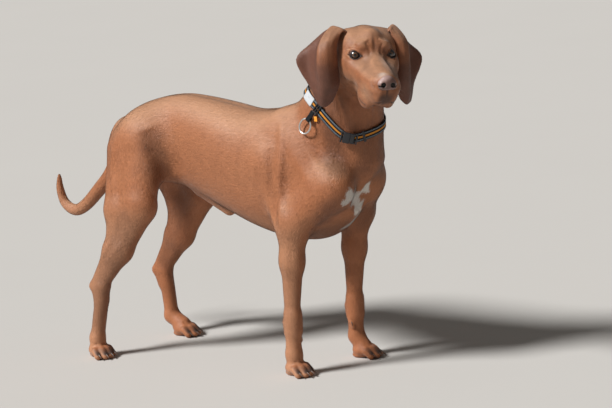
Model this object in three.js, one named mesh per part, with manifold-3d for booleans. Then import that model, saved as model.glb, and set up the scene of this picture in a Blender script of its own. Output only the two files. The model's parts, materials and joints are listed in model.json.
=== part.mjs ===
// A short-coated hound with drop ears, standing still at life size, in a webbing collar.
// Millimetres. +X is the way the body faces, +Y is its left side, +Z is up, the floor is Z 0.
//
// The body is one smooth volume made of simple forms (round cones, ellipsoids and a lofted
// trunk) that melt into each other. Each node meshes the stretch of that volume it stands for,
// and thin plane cuts part it from its neighbours. Ears, eyes, nose, claws, tail and collar
// are pieces of their own.

import * as THREE from 'three';
import { mergeVertices } from 'three/addons/utils/BufferGeometryUtils.js';
import Module from 'manifold-3d';

const wasm = await Module();
wasm.setup();

// ---------------------------------------------------------------- driving dimensions

const GAP = 0.4;
const FLOOR = 0;
const RIGHT = -1;
const LEFT = 1;
const SIDES = { right: RIGHT, left: LEFT };

// Trunk sections from the rump to the breastbone: x, top, bottom, half width.
const TRUNK_SECTIONS = [
  { x: -414, top: 513, bottom: 458, half: 26 },
  { x: -388, top: 549, bottom: 432, half: 50 },
  { x: -345, top: 578, bottom: 416, half: 64 },
  { x: -290, top: 597, bottom: 400, half: 70 },
  { x: -225, top: 606, bottom: 388, half: 69 },
  { x: -160, top: 601, bottom: 364, half: 78 },
  { x: -95, top: 591, bottom: 338, half: 90 },
  { x: -30, top: 580, bottom: 314, half: 97 },
  { x: 35, top: 584, bottom: 297, half: 98 },
  { x: 95, top: 585, bottom: 291, half: 92 },
  { x: 150, top: 564, bottom: 298, half: 83 },
  { x: 195, top: 527, bottom: 322, half: 70 },
  { x: 230, top: 490, bottom: 360, half: 50 },
];
const TRUNK_ROUNDNESS = 2.25;
const TRUNK_TOP_SPREAD = 0.1;

// The head is turned to the dog's right. Its own frame: x to the nose, y left, z up,
// with the origin midway between the eyes.
const HEAD = { at: [333, -60, 722], yaw: -39, pitch: -2, roll: -4 };
const EYE = { x: -3, y: 38.5, z: 0, radius: 12.5 };

const FORELEGS = {
  right: {
    shoulder: [206, -66, 425],
    elbow: [111, -86, 345],
    wrist: [98, -86, 118],
    knuckle: [96, -86, 48],
    paw: [101, -85, 0],
    toeOut: -8,
  },
  left: {
    shoulder: [206, 62, 425],
    elbow: [154, 94, 340],
    wrist: [134, 104, 116],
    knuckle: [133, 106, 48],
    paw: [153, 107, 0],
    toeOut: 12,
  },
};
const HINDLEGS = {
  right: {
    hip: [-335, -50, 490],
    knee: [-302, -100, 352],
    hock: [-413, -124, 158],
    knuckle: [-432, -130, 45],
    paw: [-428, -131, 0],
    toeOut: -16,
  },
  left: {
    hip: [-335, 50, 490],
    knee: [-288, 108, 345],
    hock: [-415, 110, 146],
    knuckle: [-402, 111, 45],
    paw: [-366, 111, 0],
    toeOut: 5,
  },
};
const TOES = [-1.5, -0.5, 0.5, 1.5];

const TAIL = {
  stations: [
    [-398, 0, 512], [-430, 0, 455], [-466, 0, 402], [-503, 0, 366], [-545, 0, 328],
    [-580, 0, 311], [-611, 0, 325], [-624, 0, 358], [-624, 0, 392],
  ],
  radii: [27, 20.5, 18, 16.5, 15, 13.5, 11.5, 9.5, 5],
};

// Ear folds in the head's frame, each from the root on the skull to the tip, y outward: the
// front edge, the strip behind it, its ridge, the hollow of the flap and the rear edge.
const EAR_FOLDS = [
  [[-40, 44, 40], [-36, 57, 45], [-28, 71, 18], [-27, 68, -24], [-27, 65, -65], [-34, 76, -103]],
  [[-52, 52, 46], [-47, 65, 49], [-22, 90, 23], [-12, 90, -22], [-12, 87, -69], [-34, 86, -112]],
  [[-66, 58, 44], [-62, 74, 49], [-34, 104, 20], [-19, 111, -19], [-19, 105, -76], [-38, 96, -116]],
  [[-80, 58, 38], [-78, 78, 42], [-62, 111, 17], [-60, 122, -24], [-42, 112, -78], [-44, 104, -112]],
  [[-92, 56, 26], [-94, 77, 28], [-84, 118, 9], [-72, 148, -21], [-58, 121, -75], [-50, 108, -104]],
];
const EAR = { half: 2.6, rimHalf: 1.3, rows: 9, columns: 7 };
// The left ear lies closer to the cheek, most where the share of the way across and down is this.
const LEFT_TUCK = { depth: 25, across: 0.55, acrossSpread: 0.6, down: 0.56, downSpread: 0.33 };

// The collar lies on a sloping loop round the neck and sags where its buckle hangs.
// Angles go round the neck from straight ahead, positive to the left.
const COLLAR = {
  centreX: 205,
  height: 599,
  slope: -0.5,
  sag: 36,
  sagAngle: -50,
  sagSpread: 27,
  stations: 36,
};
const STRAP = { width: 20, inner: 1.6, outer: 4.2 };
const BANDS = {
  sleeve: { from: -141, to: -113, segments: 3, width: 22.5, inner: 4.8, outer: 6.2 },
  slider: { from: -106, to: -97, segments: 1, width: 26, inner: 4.8, outer: 8.2 },
  buckle: { from: -57, to: -35, segments: 3, width: 25, inner: 4.8, outer: 10 },
  keeper: { from: -26, to: -22, segments: 1, width: 25, inner: 4.8, outer: 7.6 },
};
// The ring hangs from a webbing loop below the slider, on the right of the neck.
const RING = { x: 160, z: 563, lift: 9.5, long: 17, wide: 15, wire: 1.9, sides: 6, segments: 18 };
const LOOP = { fromX: 178, fromZ: 592, width: 12, wall: 1.3, bore: 3.3, lift: 9 };
const TAG = { x: 186, z: 579, lift: 4.5, long: 11, wide: 8, thick: 1.6 };

const COLOURS = {
  coat: 0x9a5a3a,
  ear: 0x7e4734,
  nose: 0x8a5f55,
  eye: 0x4a2c18,
  claw: 0x6b4a3c,
  webbing: 0x23262a,
  plastic: 0x141517,
  sleeve: 0xb9c0c4,
  tag: 0xe0672a,
  steel: 0xb8bcc0,
};

// ---------------------------------------------------------------- small vector helpers

const add = (a, b) => [a[0] + b[0], a[1] + b[1], a[2] + b[2]];
const sub = (a, b) => [a[0] - b[0], a[1] - b[1], a[2] - b[2]];
const times = (a, s) => [a[0] * s, a[1] * s, a[2] * s];
const mix = (a, b, t) => add(times(a, 1 - t), times(b, t));
const dot = (a, b) => a[0] * b[0] + a[1] * b[1] + a[2] * b[2];
const cross = (a, b) => [
  a[1] * b[2] - a[2] * b[1],
  a[2] * b[0] - a[0] * b[2],
  a[0] * b[1] - a[1] * b[0],
];
const length = (a) => Math.hypot(a[0], a[1], a[2]);
const unit = (a) => times(a, 1 / length(a));
const clamp = (v, low, high) => Math.min(high, Math.max(low, v));
const radians = (degrees) => (degrees * Math.PI) / 180;
const SIDEWAYS = [0, 1, 0];

// A place with its own axes: forward, left and up. pitch raises the nose.
class Place {
  constructor(at, yaw = 0, pitch = 0, roll = 0) {
    const turn = new THREE.Euler(radians(roll), radians(-pitch), radians(yaw), 'ZYX');
    const matrix = new THREE.Matrix4().makeRotationFromEuler(turn);
    this.at = at;
    this.axes = [0, 1, 2].map((i) => new THREE.Vector3().setFromMatrixColumn(matrix, i).toArray());
  }

  direction(x, y, z) {
    const [forward, left, up] = this.axes;
    return add(add(times(forward, x), times(left, y)), times(up, z));
  }

  point(x, y, z) {
    return add(this.at, this.direction(x, y, z));
  }
}

const headPlace = new Place(HEAD.at, HEAD.yaw, HEAD.pitch, HEAD.roll);

// ---------------------------------------------------------------- forms and their blend

const smoothMin = (a, b, k) => {
  const h = Math.max(k - Math.abs(a - b), 0) / k;
  return Math.min(a, b) - h * h * k * 0.25;
};
const smoothMax = (a, b, k) => -smoothMin(-a, -b, k);
const FAR = 250;
const REACH = 30;

// A round cone from a to b, flattened to the share `flat` of its width along `side`.
function roundCone(a, b, radiusA, radiusB, blend, flat = 1, side = SIDEWAYS) {
  const axis = sub(b, a);
  const squared = dot(axis, axis);
  const widest = Math.max(radiusA, radiusB);
  const distance = (x, y, z) => {
    const px = x - a[0];
    const py = y - a[1];
    const pz = z - a[2];
    const t = clamp((px * axis[0] + py * axis[1] + pz * axis[2]) / squared, 0, 1);
    const vx = px - t * axis[0];
    const vy = py - t * axis[1];
    const vz = pz - t * axis[2];
    const across = (1 / flat - 1) * (vx * side[0] + vy * side[1] + vz * side[2]);
    const plain = Math.hypot(vx, vy, vz) + 1e-6;
    const squashed = Math.hypot(vx + across * side[0], vy + across * side[1], vz + across * side[2]) + 1e-6;
    return ((squashed - (radiusA + (radiusB - radiusA) * t)) * plain) / squashed;
  };
  const low = [0, 1, 2].map((i) => Math.min(a[i], b[i]) - widest);
  const high = [0, 1, 2].map((i) => Math.max(a[i], b[i]) + widest);
  return { distance, low, high, blend, carve: false };
}

// An ellipsoid whose half axes lie along a place's axes.
function ellipsoid(place, radii, blend, carve = false) {
  const [forward, left, up] = place.axes;
  const distance = (x, y, z) => {
    const p = [x - place.at[0], y - place.at[1], z - place.at[2]];
    const a = dot(p, forward) / radii[0];
    const b = dot(p, left) / radii[1];
    const c = dot(p, up) / radii[2];
    const near = Math.hypot(a, b, c);
    const slope = Math.hypot(a / radii[0], b / radii[1], c / radii[2]) + 1e-9;
    return (near * (near - 1)) / slope;
  };
  const reach = [0, 1, 2].map((i) => (
    Math.hypot(radii[0] * forward[i], radii[1] * left[i], radii[2] * up[i])));
  return { distance, low: sub(place.at, reach), high: add(place.at, reach), blend, carve };
}

// A smooth curve through one size of the trunk's sections, as a function of x.
function trunkCurve(key) {
  const xs = TRUNK_SECTIONS.map((s) => s.x);
  const ys = TRUNK_SECTIONS.map((s) => s[key]);
  const last = xs.length - 1;
  const slopes = xs.map((_, i) => {
    const before = Math.max(i - 1, 0);
    const after = Math.min(i + 1, last);
    return (ys[after] - ys[before]) / (xs[after] - xs[before]);
  });
  return (at) => {
    const x = clamp(at, xs[0], xs[last]);
    let i = 0;
    while (i < last - 1 && x >= xs[i + 1]) i += 1;
    const h = xs[i + 1] - xs[i];
    const t = (x - xs[i]) / h;
    const rise = t * t * (3 - 2 * t);
    const tangentIn = t * (1 - t) * (1 - t) * h * slopes[i];
    const tangentOut = t * t * (t - 1) * h * slopes[i + 1];
    return ys[i] * (1 - rise) + ys[i + 1] * rise + tangentIn + tangentOut;
  };
}

function trunkForm() {
  const top = trunkCurve('top');
  const bottom = trunkCurve('bottom');
  const half = trunkCurve('half');
  const first = TRUNK_SECTIONS[0].x;
  const last = TRUNK_SECTIONS[TRUNK_SECTIONS.length - 1].x;
  const distance = (x, y, z) => {
    const centre = (top(x) + bottom(x)) / 2;
    const height = (top(x) - bottom(x)) / 2;
    const rise = z - centre;
    const width = half(x) * (1 + TRUNK_TOP_SPREAD * clamp(rise / height, -1.3, 1.3));
    const share = (Math.abs(y) / width) ** TRUNK_ROUNDNESS + (Math.abs(rise) / height) ** TRUNK_ROUNDNESS;
    const radial = Math.hypot(y, rise);
    const round = radial - radial / (share ** (1 / TRUNK_ROUNDNESS) + 1e-9);
    const past = Math.max(first - x, x - last);
    return past > 0 ? Math.hypot(Math.max(round, 0), past) : Math.max(round, past);
  };
  return { distance, low: [-430, -110, 280], high: [260, 110, 620], blend: 20, carve: false };
}

// A volume is a list of forms, joined in order.
function distanceTo(forms, x, y, z) {
  let d = FAR;
  for (const form of forms) {
    const m = form.blend + REACH;
    if (x < form.low[0] - m || x > form.high[0] + m) continue;
    if (y < form.low[1] - m || y > form.high[1] + m) continue;
    if (z < form.low[2] - m || z > form.high[2] + m) continue;
    const v = form.distance(x, y, z);
    d = form.carve ? smoothMax(d, -v, form.blend) : smoothMin(d, v, form.blend);
  }
  return d;
}

function outwardOf(forms, p, reach = 1.5) {
  const slope = [0, 1, 2].map((i) => {
    const step = [0, 0, 0];
    step[i] = reach;
    return distanceTo(forms, ...add(p, step)) - distanceTo(forms, ...sub(p, step));
  });
  return times(slope, 1 / (2 * reach));
}

// Moves a point along the volume's slope until it is `grow` outside the surface.
function settle(forms, start, grow, rounds = 3, farthest = 6) {
  let p = start;
  for (let i = 0; i < rounds; i += 1) {
    const slope = outwardOf(forms, p, 0.5);
    const off = (distanceTo(forms, ...p) - grow) / (dot(slope, slope) + 1e-3);
    p = sub(p, times(slope, clamp(off, -farthest, farthest)));
  }
  return p;
}

// ---------------------------------------------------------------- the dog's forms

function neckForms() {
  const back = headPlace.point(-100, 0, 0);
  const under = headPlace.point(-55, 0, -60);
  return [
    roundCone([118, 0, 470], [196, 0, 576], 94, 70, 40, 0.86),
    roundCone([196, 0, 576], mix(back, under, 0.5), 70, 56, 40, 0.92),
    roundCone([88, 0, 543], [165, 0, 595], 35, 37, 40),
    roundCone([165, 0, 595], back, 37, 34, 40),
    roundCone([227, 15, 487], [254, 3, 605], 62, 39, 45),
  ];
}

// Sole, toes and pads, with the joint above them.
function pawForms(leg) {
  const foot = new Place(leg.paw, leg.toeOut);
  const toes = TOES.map((i) => {
    const ahead = Math.abs(i) < 1 ? 20 : 10;
    return roundCone(foot.point(ahead, i * 13, 19), foot.point(ahead + 12, i * 14, 8.2), 9.2, 8.8, 5);
  });
  return [
    roundCone(leg.knuckle, foot.point(-4, 0, 26), 18.5, 20, 10),
    ellipsoid(new Place(foot.point(0, 0, 17), leg.toeOut), [30, 24, 16], 8),
    ...toes,
    ellipsoid(new Place(foot.point(-14, 0, 6), leg.toeOut), [17, 16, 9], 5),
  ];
}

function dewToe(leg, side) {
  const at = add(leg.wrist, [-2, -side * 17, -30]);
  return roundCone(add(at, [0, side * 4, 8]), at, 6, 5, 6);
}

function forelegForms(name) {
  const leg = FORELEGS[name];
  const side = SIDES[name];
  const { shoulder, elbow, wrist, knuckle } = leg;
  const upperForearm = mix(elbow, wrist, 0.38);
  return [
    roundCone([78, side * 32, 545], shoulder, 36, 42, 40, 0.7),
    roundCone(shoulder, add(elbow, [10, 0, 10]), 44, 42, 40, 0.85),
    roundCone([55, side * 70, 470], add(elbow, [-22, -side * 4, 12]), 40, 22, 35, 0.75),
    roundCone(add(elbow, [6, 0, -5]), upperForearm, 34, 28.5, 30, 0.85),
    roundCone(upperForearm, add(wrist, [0, 0, 20]), 27.5, 18.5, 20, 0.86),
    roundCone(add(wrist, [2, 0, 18]), add(wrist, [2, 0, -14]), 20.5, 19, 12),
    roundCone(add(wrist, [-18, 0, 2]), add(wrist, [-14, 0, -18]), 8.5, 7, 12),
    roundCone(wrist, knuckle, 18.5, 18.5, 12),
    roundCone(add(elbow, [-26, 0, 12]), add(elbow, [-12, 0, -70]), 13, 12, 20),
    dewToe(leg, side),
    ...pawForms(leg),
  ];
}

function hindlegForms(name) {
  const leg = HINDLEGS[name];
  const side = SIDES[name];
  const { hip, knee, hock, knuckle } = leg;
  const calf = mix(knee, hock, 0.5);
  return [
    roundCone(add(hip, [20, side * 8, 0]), add(knee, [0, 0, 20]), 70, 42, 50, 0.72),
    roundCone([-377, side * 46, 467], add(knee, [-72, 0, -5]), 48, 30, 40, 0.75),
    roundCone(knee, calf, 37, 28, 30, 0.8),
    roundCone(add(knee, [-62, 0, -10]), add(calf, [-28, 0, 0]), 28, 19, 30, 0.75),
    roundCone(calf, add(hock, [5, 0, 20]), 28, 18, 22, 0.8),
    roundCone(add(calf, [-32, 0, 0]), add(hock, [-22, 0, 10]), 14, 10, 20),
    roundCone(add(hock, [-20, 0, 8]), add(hock, [-4, 0, -22]), 12.5, 14, 12),
    roundCone(add(hock, [4, 0, 8]), knuckle, 18, 17, 14),
    ...pawForms(leg),
  ];
}

// Forms placed by coordinates in the head's frame.
function headCone(a, b, radiusA, radiusB, blend, flat = 1) {
  const side = headPlace.axes[1];
  return roundCone(headPlace.point(...a), headPlace.point(...b), radiusA, radiusB, blend, flat, side);
}

function headBlob(at, radii, blend, pitch = 0, carve = false) {
  const place = new Place(headPlace.point(...at), HEAD.yaw, HEAD.pitch + pitch, HEAD.roll);
  return ellipsoid(place, radii, blend, carve);
}

function skullForms() {
  return [
    headBlob([-58, 0, 6], [70, 55, 48], 10),
    headCone([-118, 0, 18], [-20, 0, 34], 20, 18, 20),
    headBlob([-14, 0, 4], [26, 34, 30], 20),
  ];
}

function cheekForms(side) {
  return [
    headBlob([-40, side * 42, -30], [48, 23, 38], 25),
    headCone([-55, side * 53, -12], [-2, side * 44, -18], 12, 9, 20),
    headBlob([-46, side * 36, 14], [36, 24, 30], 16),
    headBlob([3, side * 25, 17], [13, 12, 10], 9),
    headCone([4, side * 26, -34], [84, side * 14, -50], 25, 21, 20),
    headBlob([34, side * 22.5, -76], [44, 16.5, 34], 18, 6),
    headBlob([84, side * 13, -66], [26, 16, 27], 14),
    headCone([-58, side * 30, 30], [-66, side * 62, 32], 14, 13, 20),
  ];
}

function muzzleForms() {
  return [
    headCone([4, 0, -12], [96, 0, -36], 19, 14, 18, 1.15),
    headCone([-45, 0, -70], [70, 0, -82], 30, 14, 20, 0.9),
    headBlob([-50, 0, -52], [50, 44, 40], 20),
  ];
}

function noseForms() {
  const nostril = (side) => headBlob([118, side * 10.2, -46.5], [7, 4.4, 4.8], 2, 0, true);
  return [
    headBlob([101, 0, -43], [16, 18, 17.5], 6),
    headBlob([104, 11, -47], [12, 10.2, 12], 4),
    headBlob([104, -11, -47], [12, 10.2, 12], 4),
    nostril(RIGHT),
    nostril(LEFT),
  ];
}

function sheathForm() {
  return roundCone([-196, 0, 382], [-124, 0, 337], 15, 12, 20);
}

function tailRootForm() {
  return roundCone(TAIL.stations[0], mix(TAIL.stations[0], TAIL.stations[1], 0.55), 26, 22, 30);
}

const bodyForms = [
  trunkForm(),
  sheathForm(),
  ...neckForms(),
  ...forelegForms('right'),
  ...forelegForms('left'),
  ...hindlegForms('right'),
  ...hindlegForms('left'),
  tailRootForm(),
  ...skullForms(),
  ...cheekForms(RIGHT),
  ...cheekForms(LEFT),
  ...muzzleForms(),
];

// ---------------------------------------------------------------- meshing a volume

// Samples the volume on a grid and puts one vertex in each cell that the surface crosses.
// The grid's outer layer counts as empty, which closes the mesh there. A net with grow is
// the same mesh with its vertices moved out by that much, so it cuts a seat with that gap.
class SurfaceNet {
  constructor(forms, low, high, step, grow) {
    this.forms = forms;
    this.low = low;
    this.step = step;
    this.grow = grow;
    this.size = [0, 1, 2].map((i) => Math.ceil((high[i] - low[i]) / step[i]) + 1);
    this.positions = [];
    this.triangles = [];
    this.sample();
    this.untangle();
    this.placeVertices();
    this.joinVertices();
  }

  index(i, j, k) {
    return (i * this.size[1] + j) * this.size[2] + k;
  }

  corner(i, j, k) {
    return [i, j, k].map((n, a) => this.low[a] + n * this.step[a]);
  }

  isRim(i, j, k) {
    return [i, j, k].some((n, a) => n === 0 || n === this.size[a] - 1);
  }

  eachCell(visit, inset) {
    for (let i = 0; i < this.size[0] - inset; i += 1) {
      for (let j = 0; j < this.size[1] - inset; j += 1) {
        for (let k = 0; k < this.size[2] - inset; k += 1) visit(i, j, k);
      }
    }
  }

  sample() {
    this.values = new Float64Array(this.size[0] * this.size[1] * this.size[2]);
    this.eachCell((i, j, k) => {
      const inside = distanceTo(this.forms, ...this.corner(i, j, k));
      this.values[this.index(i, j, k)] = this.isRim(i, j, k) ? Math.max(inside, 1) : inside;
    }, 0);
  }

  // A grid face whose corners alternate would join two sheets along one edge, so the
  // corner nearest the surface changes sides until no such face is left.
  untangle() {
    let tangled = true;
    while (tangled) {
      tangled = false;
      this.eachCell((i, j, k) => {
        for (let axis = 0; axis < 3; axis += 1) tangled = this.untangleFace([i, j, k], axis) || tangled;
      }, 1);
    }
  }

  untangleFace(a, axis) {
    const corners = [[0, 0], [1, 0], [1, 1], [0, 1]].map(([du, dv]) => {
      const corner = [...a];
      corner[(axis + 1) % 3] += du;
      corner[(axis + 2) % 3] += dv;
      return this.index(...corner);
    });
    const inside = corners.map((n) => this.values[n] < 0);
    if (inside[0] !== inside[2] || inside[1] !== inside[3] || inside[0] === inside[1]) return false;
    const nearest = corners.reduce((best, n) => (
      Math.abs(this.values[n]) < Math.abs(this.values[best]) ? n : best));
    this.values[nearest] *= this.values[nearest] < 0 ? -1 : -0.5;
    return true;
  }

  placeVertices() {
    this.vertexOf = new Int32Array(this.values.length).fill(-1);
    this.eachCell((i, j, k) => this.placeVertex(i, j, k), 1);
  }

  placeVertex(i, j, k) {
    const sum = [0, 0, 0];
    let crossings = 0;
    let nearRim = false;
    for (let axis = 0; axis < 3; axis += 1) {
      for (let n = 0; n < 4; n += 1) {
        const offset = [0, 0, 0];
        offset[(axis + 1) % 3] = n & 1;
        offset[(axis + 2) % 3] = n >> 1;
        const a = add([i, j, k], offset);
        const b = [...a];
        b[axis] += 1;
        const va = this.values[this.index(...a)];
        const vb = this.values[this.index(...b)];
        if (va < 0 === vb < 0) continue;
        const t = va / (va - vb);
        const hit = [...a];
        hit[axis] += t;
        for (let m = 0; m < 3; m += 1) sum[m] += hit[m];
        crossings += 1;
        nearRim = nearRim || this.isRim(...a) || this.isRim(...b);
      }
    }
    if (crossings === 0) return;
    const start = this.corner(...times(sum, 1 / crossings));
    const farthest = Math.min(...this.step) * 0.4;
    const place = nearRim ? start : settle(this.forms, start, this.grow, 3, farthest);
    this.vertexOf[this.index(i, j, k)] = this.positions.length / 3;
    this.positions.push(...place);
  }

  joinVertices() {
    this.eachCell((i, j, k) => {
      for (let axis = 0; axis < 3; axis += 1) this.joinAround([i, j, k], axis);
    }, 1);
  }

  // The four cells round a grid edge that crosses the surface make one face.
  joinAround(a, axis) {
    const u = (axis + 1) % 3;
    const v = (axis + 2) % 3;
    if (a[u] === 0 || a[v] === 0) return;
    const b = [...a];
    b[axis] += 1;
    const startsInside = this.values[this.index(...a)] < 0;
    if (startsInside === this.values[this.index(...b)] < 0) return;
    const cells = [[0, 0], [-1, 0], [-1, -1], [0, -1]].map(([du, dv]) => {
      const cell = [...a];
      cell[u] += du;
      cell[v] += dv;
      return this.vertexOf[this.index(...cell)];
    });
    if (!startsInside) cells.reverse();
    const spot = (n) => this.positions.slice(3 * n, 3 * n + 3);
    const across = length(sub(spot(cells[0]), spot(cells[2])));
    const other = length(sub(spot(cells[1]), spot(cells[3])));
    if (across < other) {
      this.triangles.push(cells[0], cells[1], cells[2], cells[0], cells[2], cells[3]);
    } else {
      this.triangles.push(cells[1], cells[2], cells[3], cells[1], cells[3], cells[0]);
    }
  }
}

function solidOf(positions, triangles) {
  return new wasm.Manifold(new wasm.Mesh({
    numProp: 3,
    vertProperties: Float32Array.from(positions),
    triVerts: Uint32Array.from(triangles),
  }));
}

function solidFromGeometry(source) {
  const geometry = source.clone();
  geometry.deleteAttribute('normal');
  geometry.deleteAttribute('uv');
  const merged = mergeVertices(geometry, 1e-3);
  return solidOf(merged.attributes.position.array, merged.index.array);
}

function volumeSolid(forms, low, high, step, grow = 0) {
  const net = new SurfaceNet(forms, low, high, step, grow);
  return solidOf(net.positions, net.triangles);
}

// ---------------------------------------------------------------- cuts

const HALF_SPACE = 1600;

// Everything on the side of a plane that its normal points to, half a gap back from it.
function halfSpace({ at, normal }, side) {
  const facing = times(unit(normal), side);
  const box = new THREE.BoxGeometry(HALF_SPACE, HALF_SPACE, HALF_SPACE);
  const up = new THREE.Vector3(0, 0, 1);
  box.translate(0, 0, HALF_SPACE / 2 + GAP / 2);
  box.applyQuaternion(new THREE.Quaternion().setFromUnitVectors(up, new THREE.Vector3(...facing)));
  box.translate(...at);
  return solidFromGeometry(box);
}

function keep(solid, plane, side) {
  return solid.intersect(halfSpace(plane, side));
}

const floorPlane = { at: [0, 0, FLOOR - GAP / 2], normal: [0, 0, 1] };
const headPlane = { at: [262, -15, 652], normal: [45, -20, 87] };
const neckPlane = { at: [160, 0, 522], normal: [58, 0, 81] };
const middlePlane = { at: [-5, 0, 0], normal: [1, 0, 0] };
const loinPlane = { at: [-200, 0, 0], normal: [1, 0, 0] };
const foreTopPlane = { at: [0, 0, 282], normal: [0, 0, 1] };
const hindTopPlane = { at: [0, 0, 385], normal: [0, 0, 1] };
const hockPlane = { at: [0, 0, 235], normal: [0, 0, 1] };
const pawPlane = { at: [0, 0, 62], normal: [0, 0, 1] };
const medianPlane = { at: [0, 0, 0], normal: [0, 1, 0] };

// ---------------------------------------------------------------- node helpers

const hound = new THREE.Group();

function matte(colour, roughness = 0.75, metalness = 0) {
  return new THREE.MeshStandardMaterial({ color: colour, roughness, metalness });
}

const materials = {
  coat: matte(COLOURS.coat),
  ear: matte(COLOURS.ear),
  nose: matte(COLOURS.nose, 0.4),
  eye: matte(COLOURS.eye, 0.05),
  claw: matte(COLOURS.claw, 0.45),
  webbing: matte(COLOURS.webbing, 0.9),
  plastic: matte(COLOURS.plastic, 0.5),
  sleeve: matte(COLOURS.sleeve, 0.7),
  tag: matte(COLOURS.tag, 0.6),
  steel: matte(COLOURS.steel, 0.25, 1),
};

// A cut can leave crumbs, so only the largest body of a solid becomes the node.
function largestBody(solid) {
  const bodies = solid.decompose();
  return bodies.reduce((best, body) => (body.volume() > best.volume() ? body : best));
}

function addNode(name, solid, material) {
  const { vertProperties, triVerts } = largestBody(solid).getMesh();
  const geometry = new THREE.BufferGeometry();
  geometry.setAttribute('position', new THREE.BufferAttribute(Float32Array.from(vertProperties), 3));
  geometry.setIndex(new THREE.BufferAttribute(Uint32Array.from(triVerts), 1));
  geometry.computeVertexNormals();
  const mesh = new THREE.Mesh(geometry, material);
  mesh.name = name;
  hound.add(mesh);
}

// ---------------------------------------------------------------- head pieces

const HEAD_REGION = { low: [205, -165, 585], high: [455, 55, 800], step: [15.3, 15.3, 15.3] };

function eyeGeometry(side, radius) {
  const eye = new THREE.SphereGeometry(radius, 11, 7);
  return eye.translate(...headPlace.point(EYE.x, side * EYE.y, EYE.z));
}

function addHead() {
  const nose = volumeSolid(noseForms(), [350, -185, 640], [460, -90, 715], [6.8, 6.8, 6.8]);
  const noseSeat = volumeSolid(noseForms(), [350, -185, 640], [460, -90, 715], [6.8, 6.8, 6.8], GAP);
  let head = volumeSolid(bodyForms, HEAD_REGION.low, HEAD_REGION.high, HEAD_REGION.step);
  head = keep(head, headPlane, 1).subtract(noseSeat);
  for (const [name, side] of Object.entries(SIDES)) {
    addNode(`eye_${name}`, solidFromGeometry(eyeGeometry(side, EYE.radius)), materials.eye);
    head = head.subtract(solidFromGeometry(eyeGeometry(side, EYE.radius + GAP)));
  }
  addNode('head', head, materials.coat);
  addNode('nose', nose, materials.nose);
}

function leftTuck(s, t) {
  const across = (s - LEFT_TUCK.across) / LEFT_TUCK.acrossSpread;
  const down = (t - LEFT_TUCK.down) / LEFT_TUCK.downSpread;
  return LEFT_TUCK.depth * Math.exp(-across * across - down * down);
}

// The ear's leather as a grid between its folds: t runs from root to tip, s from the
// front edge to the rear edge.
function earGrid(side) {
  const toCurve = (points) => (
    new THREE.CatmullRomCurve3(points.map((p) => new THREE.Vector3(...p)), false, 'catmullrom', 0.5));
  const folds = EAR_FOLDS.map(toCurve);
  const grid = [];
  for (let row = 0; row < EAR.rows; row += 1) {
    const t = row / (EAR.rows - 1);
    const across = toCurve(folds.map((fold) => fold.getPoint(t).toArray()));
    const line = [];
    for (let column = 0; column < EAR.columns; column += 1) {
      const s = column / (EAR.columns - 1);
      const p = across.getPoint(s);
      const y = side === LEFT ? p.y - leftTuck(s, t) : p.y;
      line.push(headPlace.point(p.x, side * y, p.z));
    }
    grid.push(line);
  }
  return grid;
}

// A grid thickened both ways along its normals, thinner at the rim, and closed round it.
function thickenGrid(grid, half, rimHalf) {
  const rows = grid.length;
  const columns = grid[0].length;
  const at = (r, c) => grid[clamp(r, 0, rows - 1)][clamp(c, 0, columns - 1)];
  const faces = [];
  for (const side of [1, -1]) {
    for (let r = 0; r < rows; r += 1) {
      for (let c = 0; c < columns; c += 1) {
        const down = sub(at(r + 1, c), at(r - 1, c));
        const along = sub(at(r, c + 1), at(r, c - 1));
        const rim = r === 0 || c === 0 || r === rows - 1 || c === columns - 1;
        const offset = times(unit(cross(down, along)), side * (rim ? rimHalf : half));
        faces.push(...add(at(r, c), offset));
      }
    }
  }
  const triangles = [];
  const quad = (a, b, c, d) => triangles.push(a, b, c, a, c, d);
  const back = rows * columns;
  for (let r = 0; r < rows - 1; r += 1) {
    for (let c = 0; c < columns - 1; c += 1) {
      const n = r * columns + c;
      quad(n, n + columns, n + columns + 1, n + 1);
      quad(back + n, back + n + 1, back + n + columns + 1, back + n + columns);
    }
  }
  const rim = [];
  for (let c = 0; c < columns - 1; c += 1) rim.push(c);
  for (let r = 0; r < rows - 1; r += 1) rim.push(r * columns + columns - 1);
  for (let c = columns - 1; c > 0; c -= 1) rim.push((rows - 1) * columns + c);
  for (let r = rows - 1; r > 0; r -= 1) rim.push(r * columns);
  rim.forEach((n, i) => {
    const next = rim[(i + 1) % rim.length];
    quad(n, next, back + next, back + n);
  });
  return solidOf(faces, triangles);
}

function addEars() {
  const seat = volumeSolid(bodyForms, HEAD_REGION.low, HEAD_REGION.high, HEAD_REGION.step, GAP);
  for (const [name, side] of Object.entries(SIDES)) {
    let ear = thickenGrid(earGrid(side), EAR.half, EAR.rimHalf);
    if (ear.volume() < 0) {
      const turned = earGrid(side).map((line) => line.reverse());
      ear = thickenGrid(turned, EAR.half, EAR.rimHalf);
    }
    addNode(`ear_${name}`, ear.subtract(seat), materials.ear);
  }
}

// ---------------------------------------------------------------- neck and trunk

const RUMP = { low: [-460, -150, 355], high: [-170, 150, 630], step: [36, 31, 34] };

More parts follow.
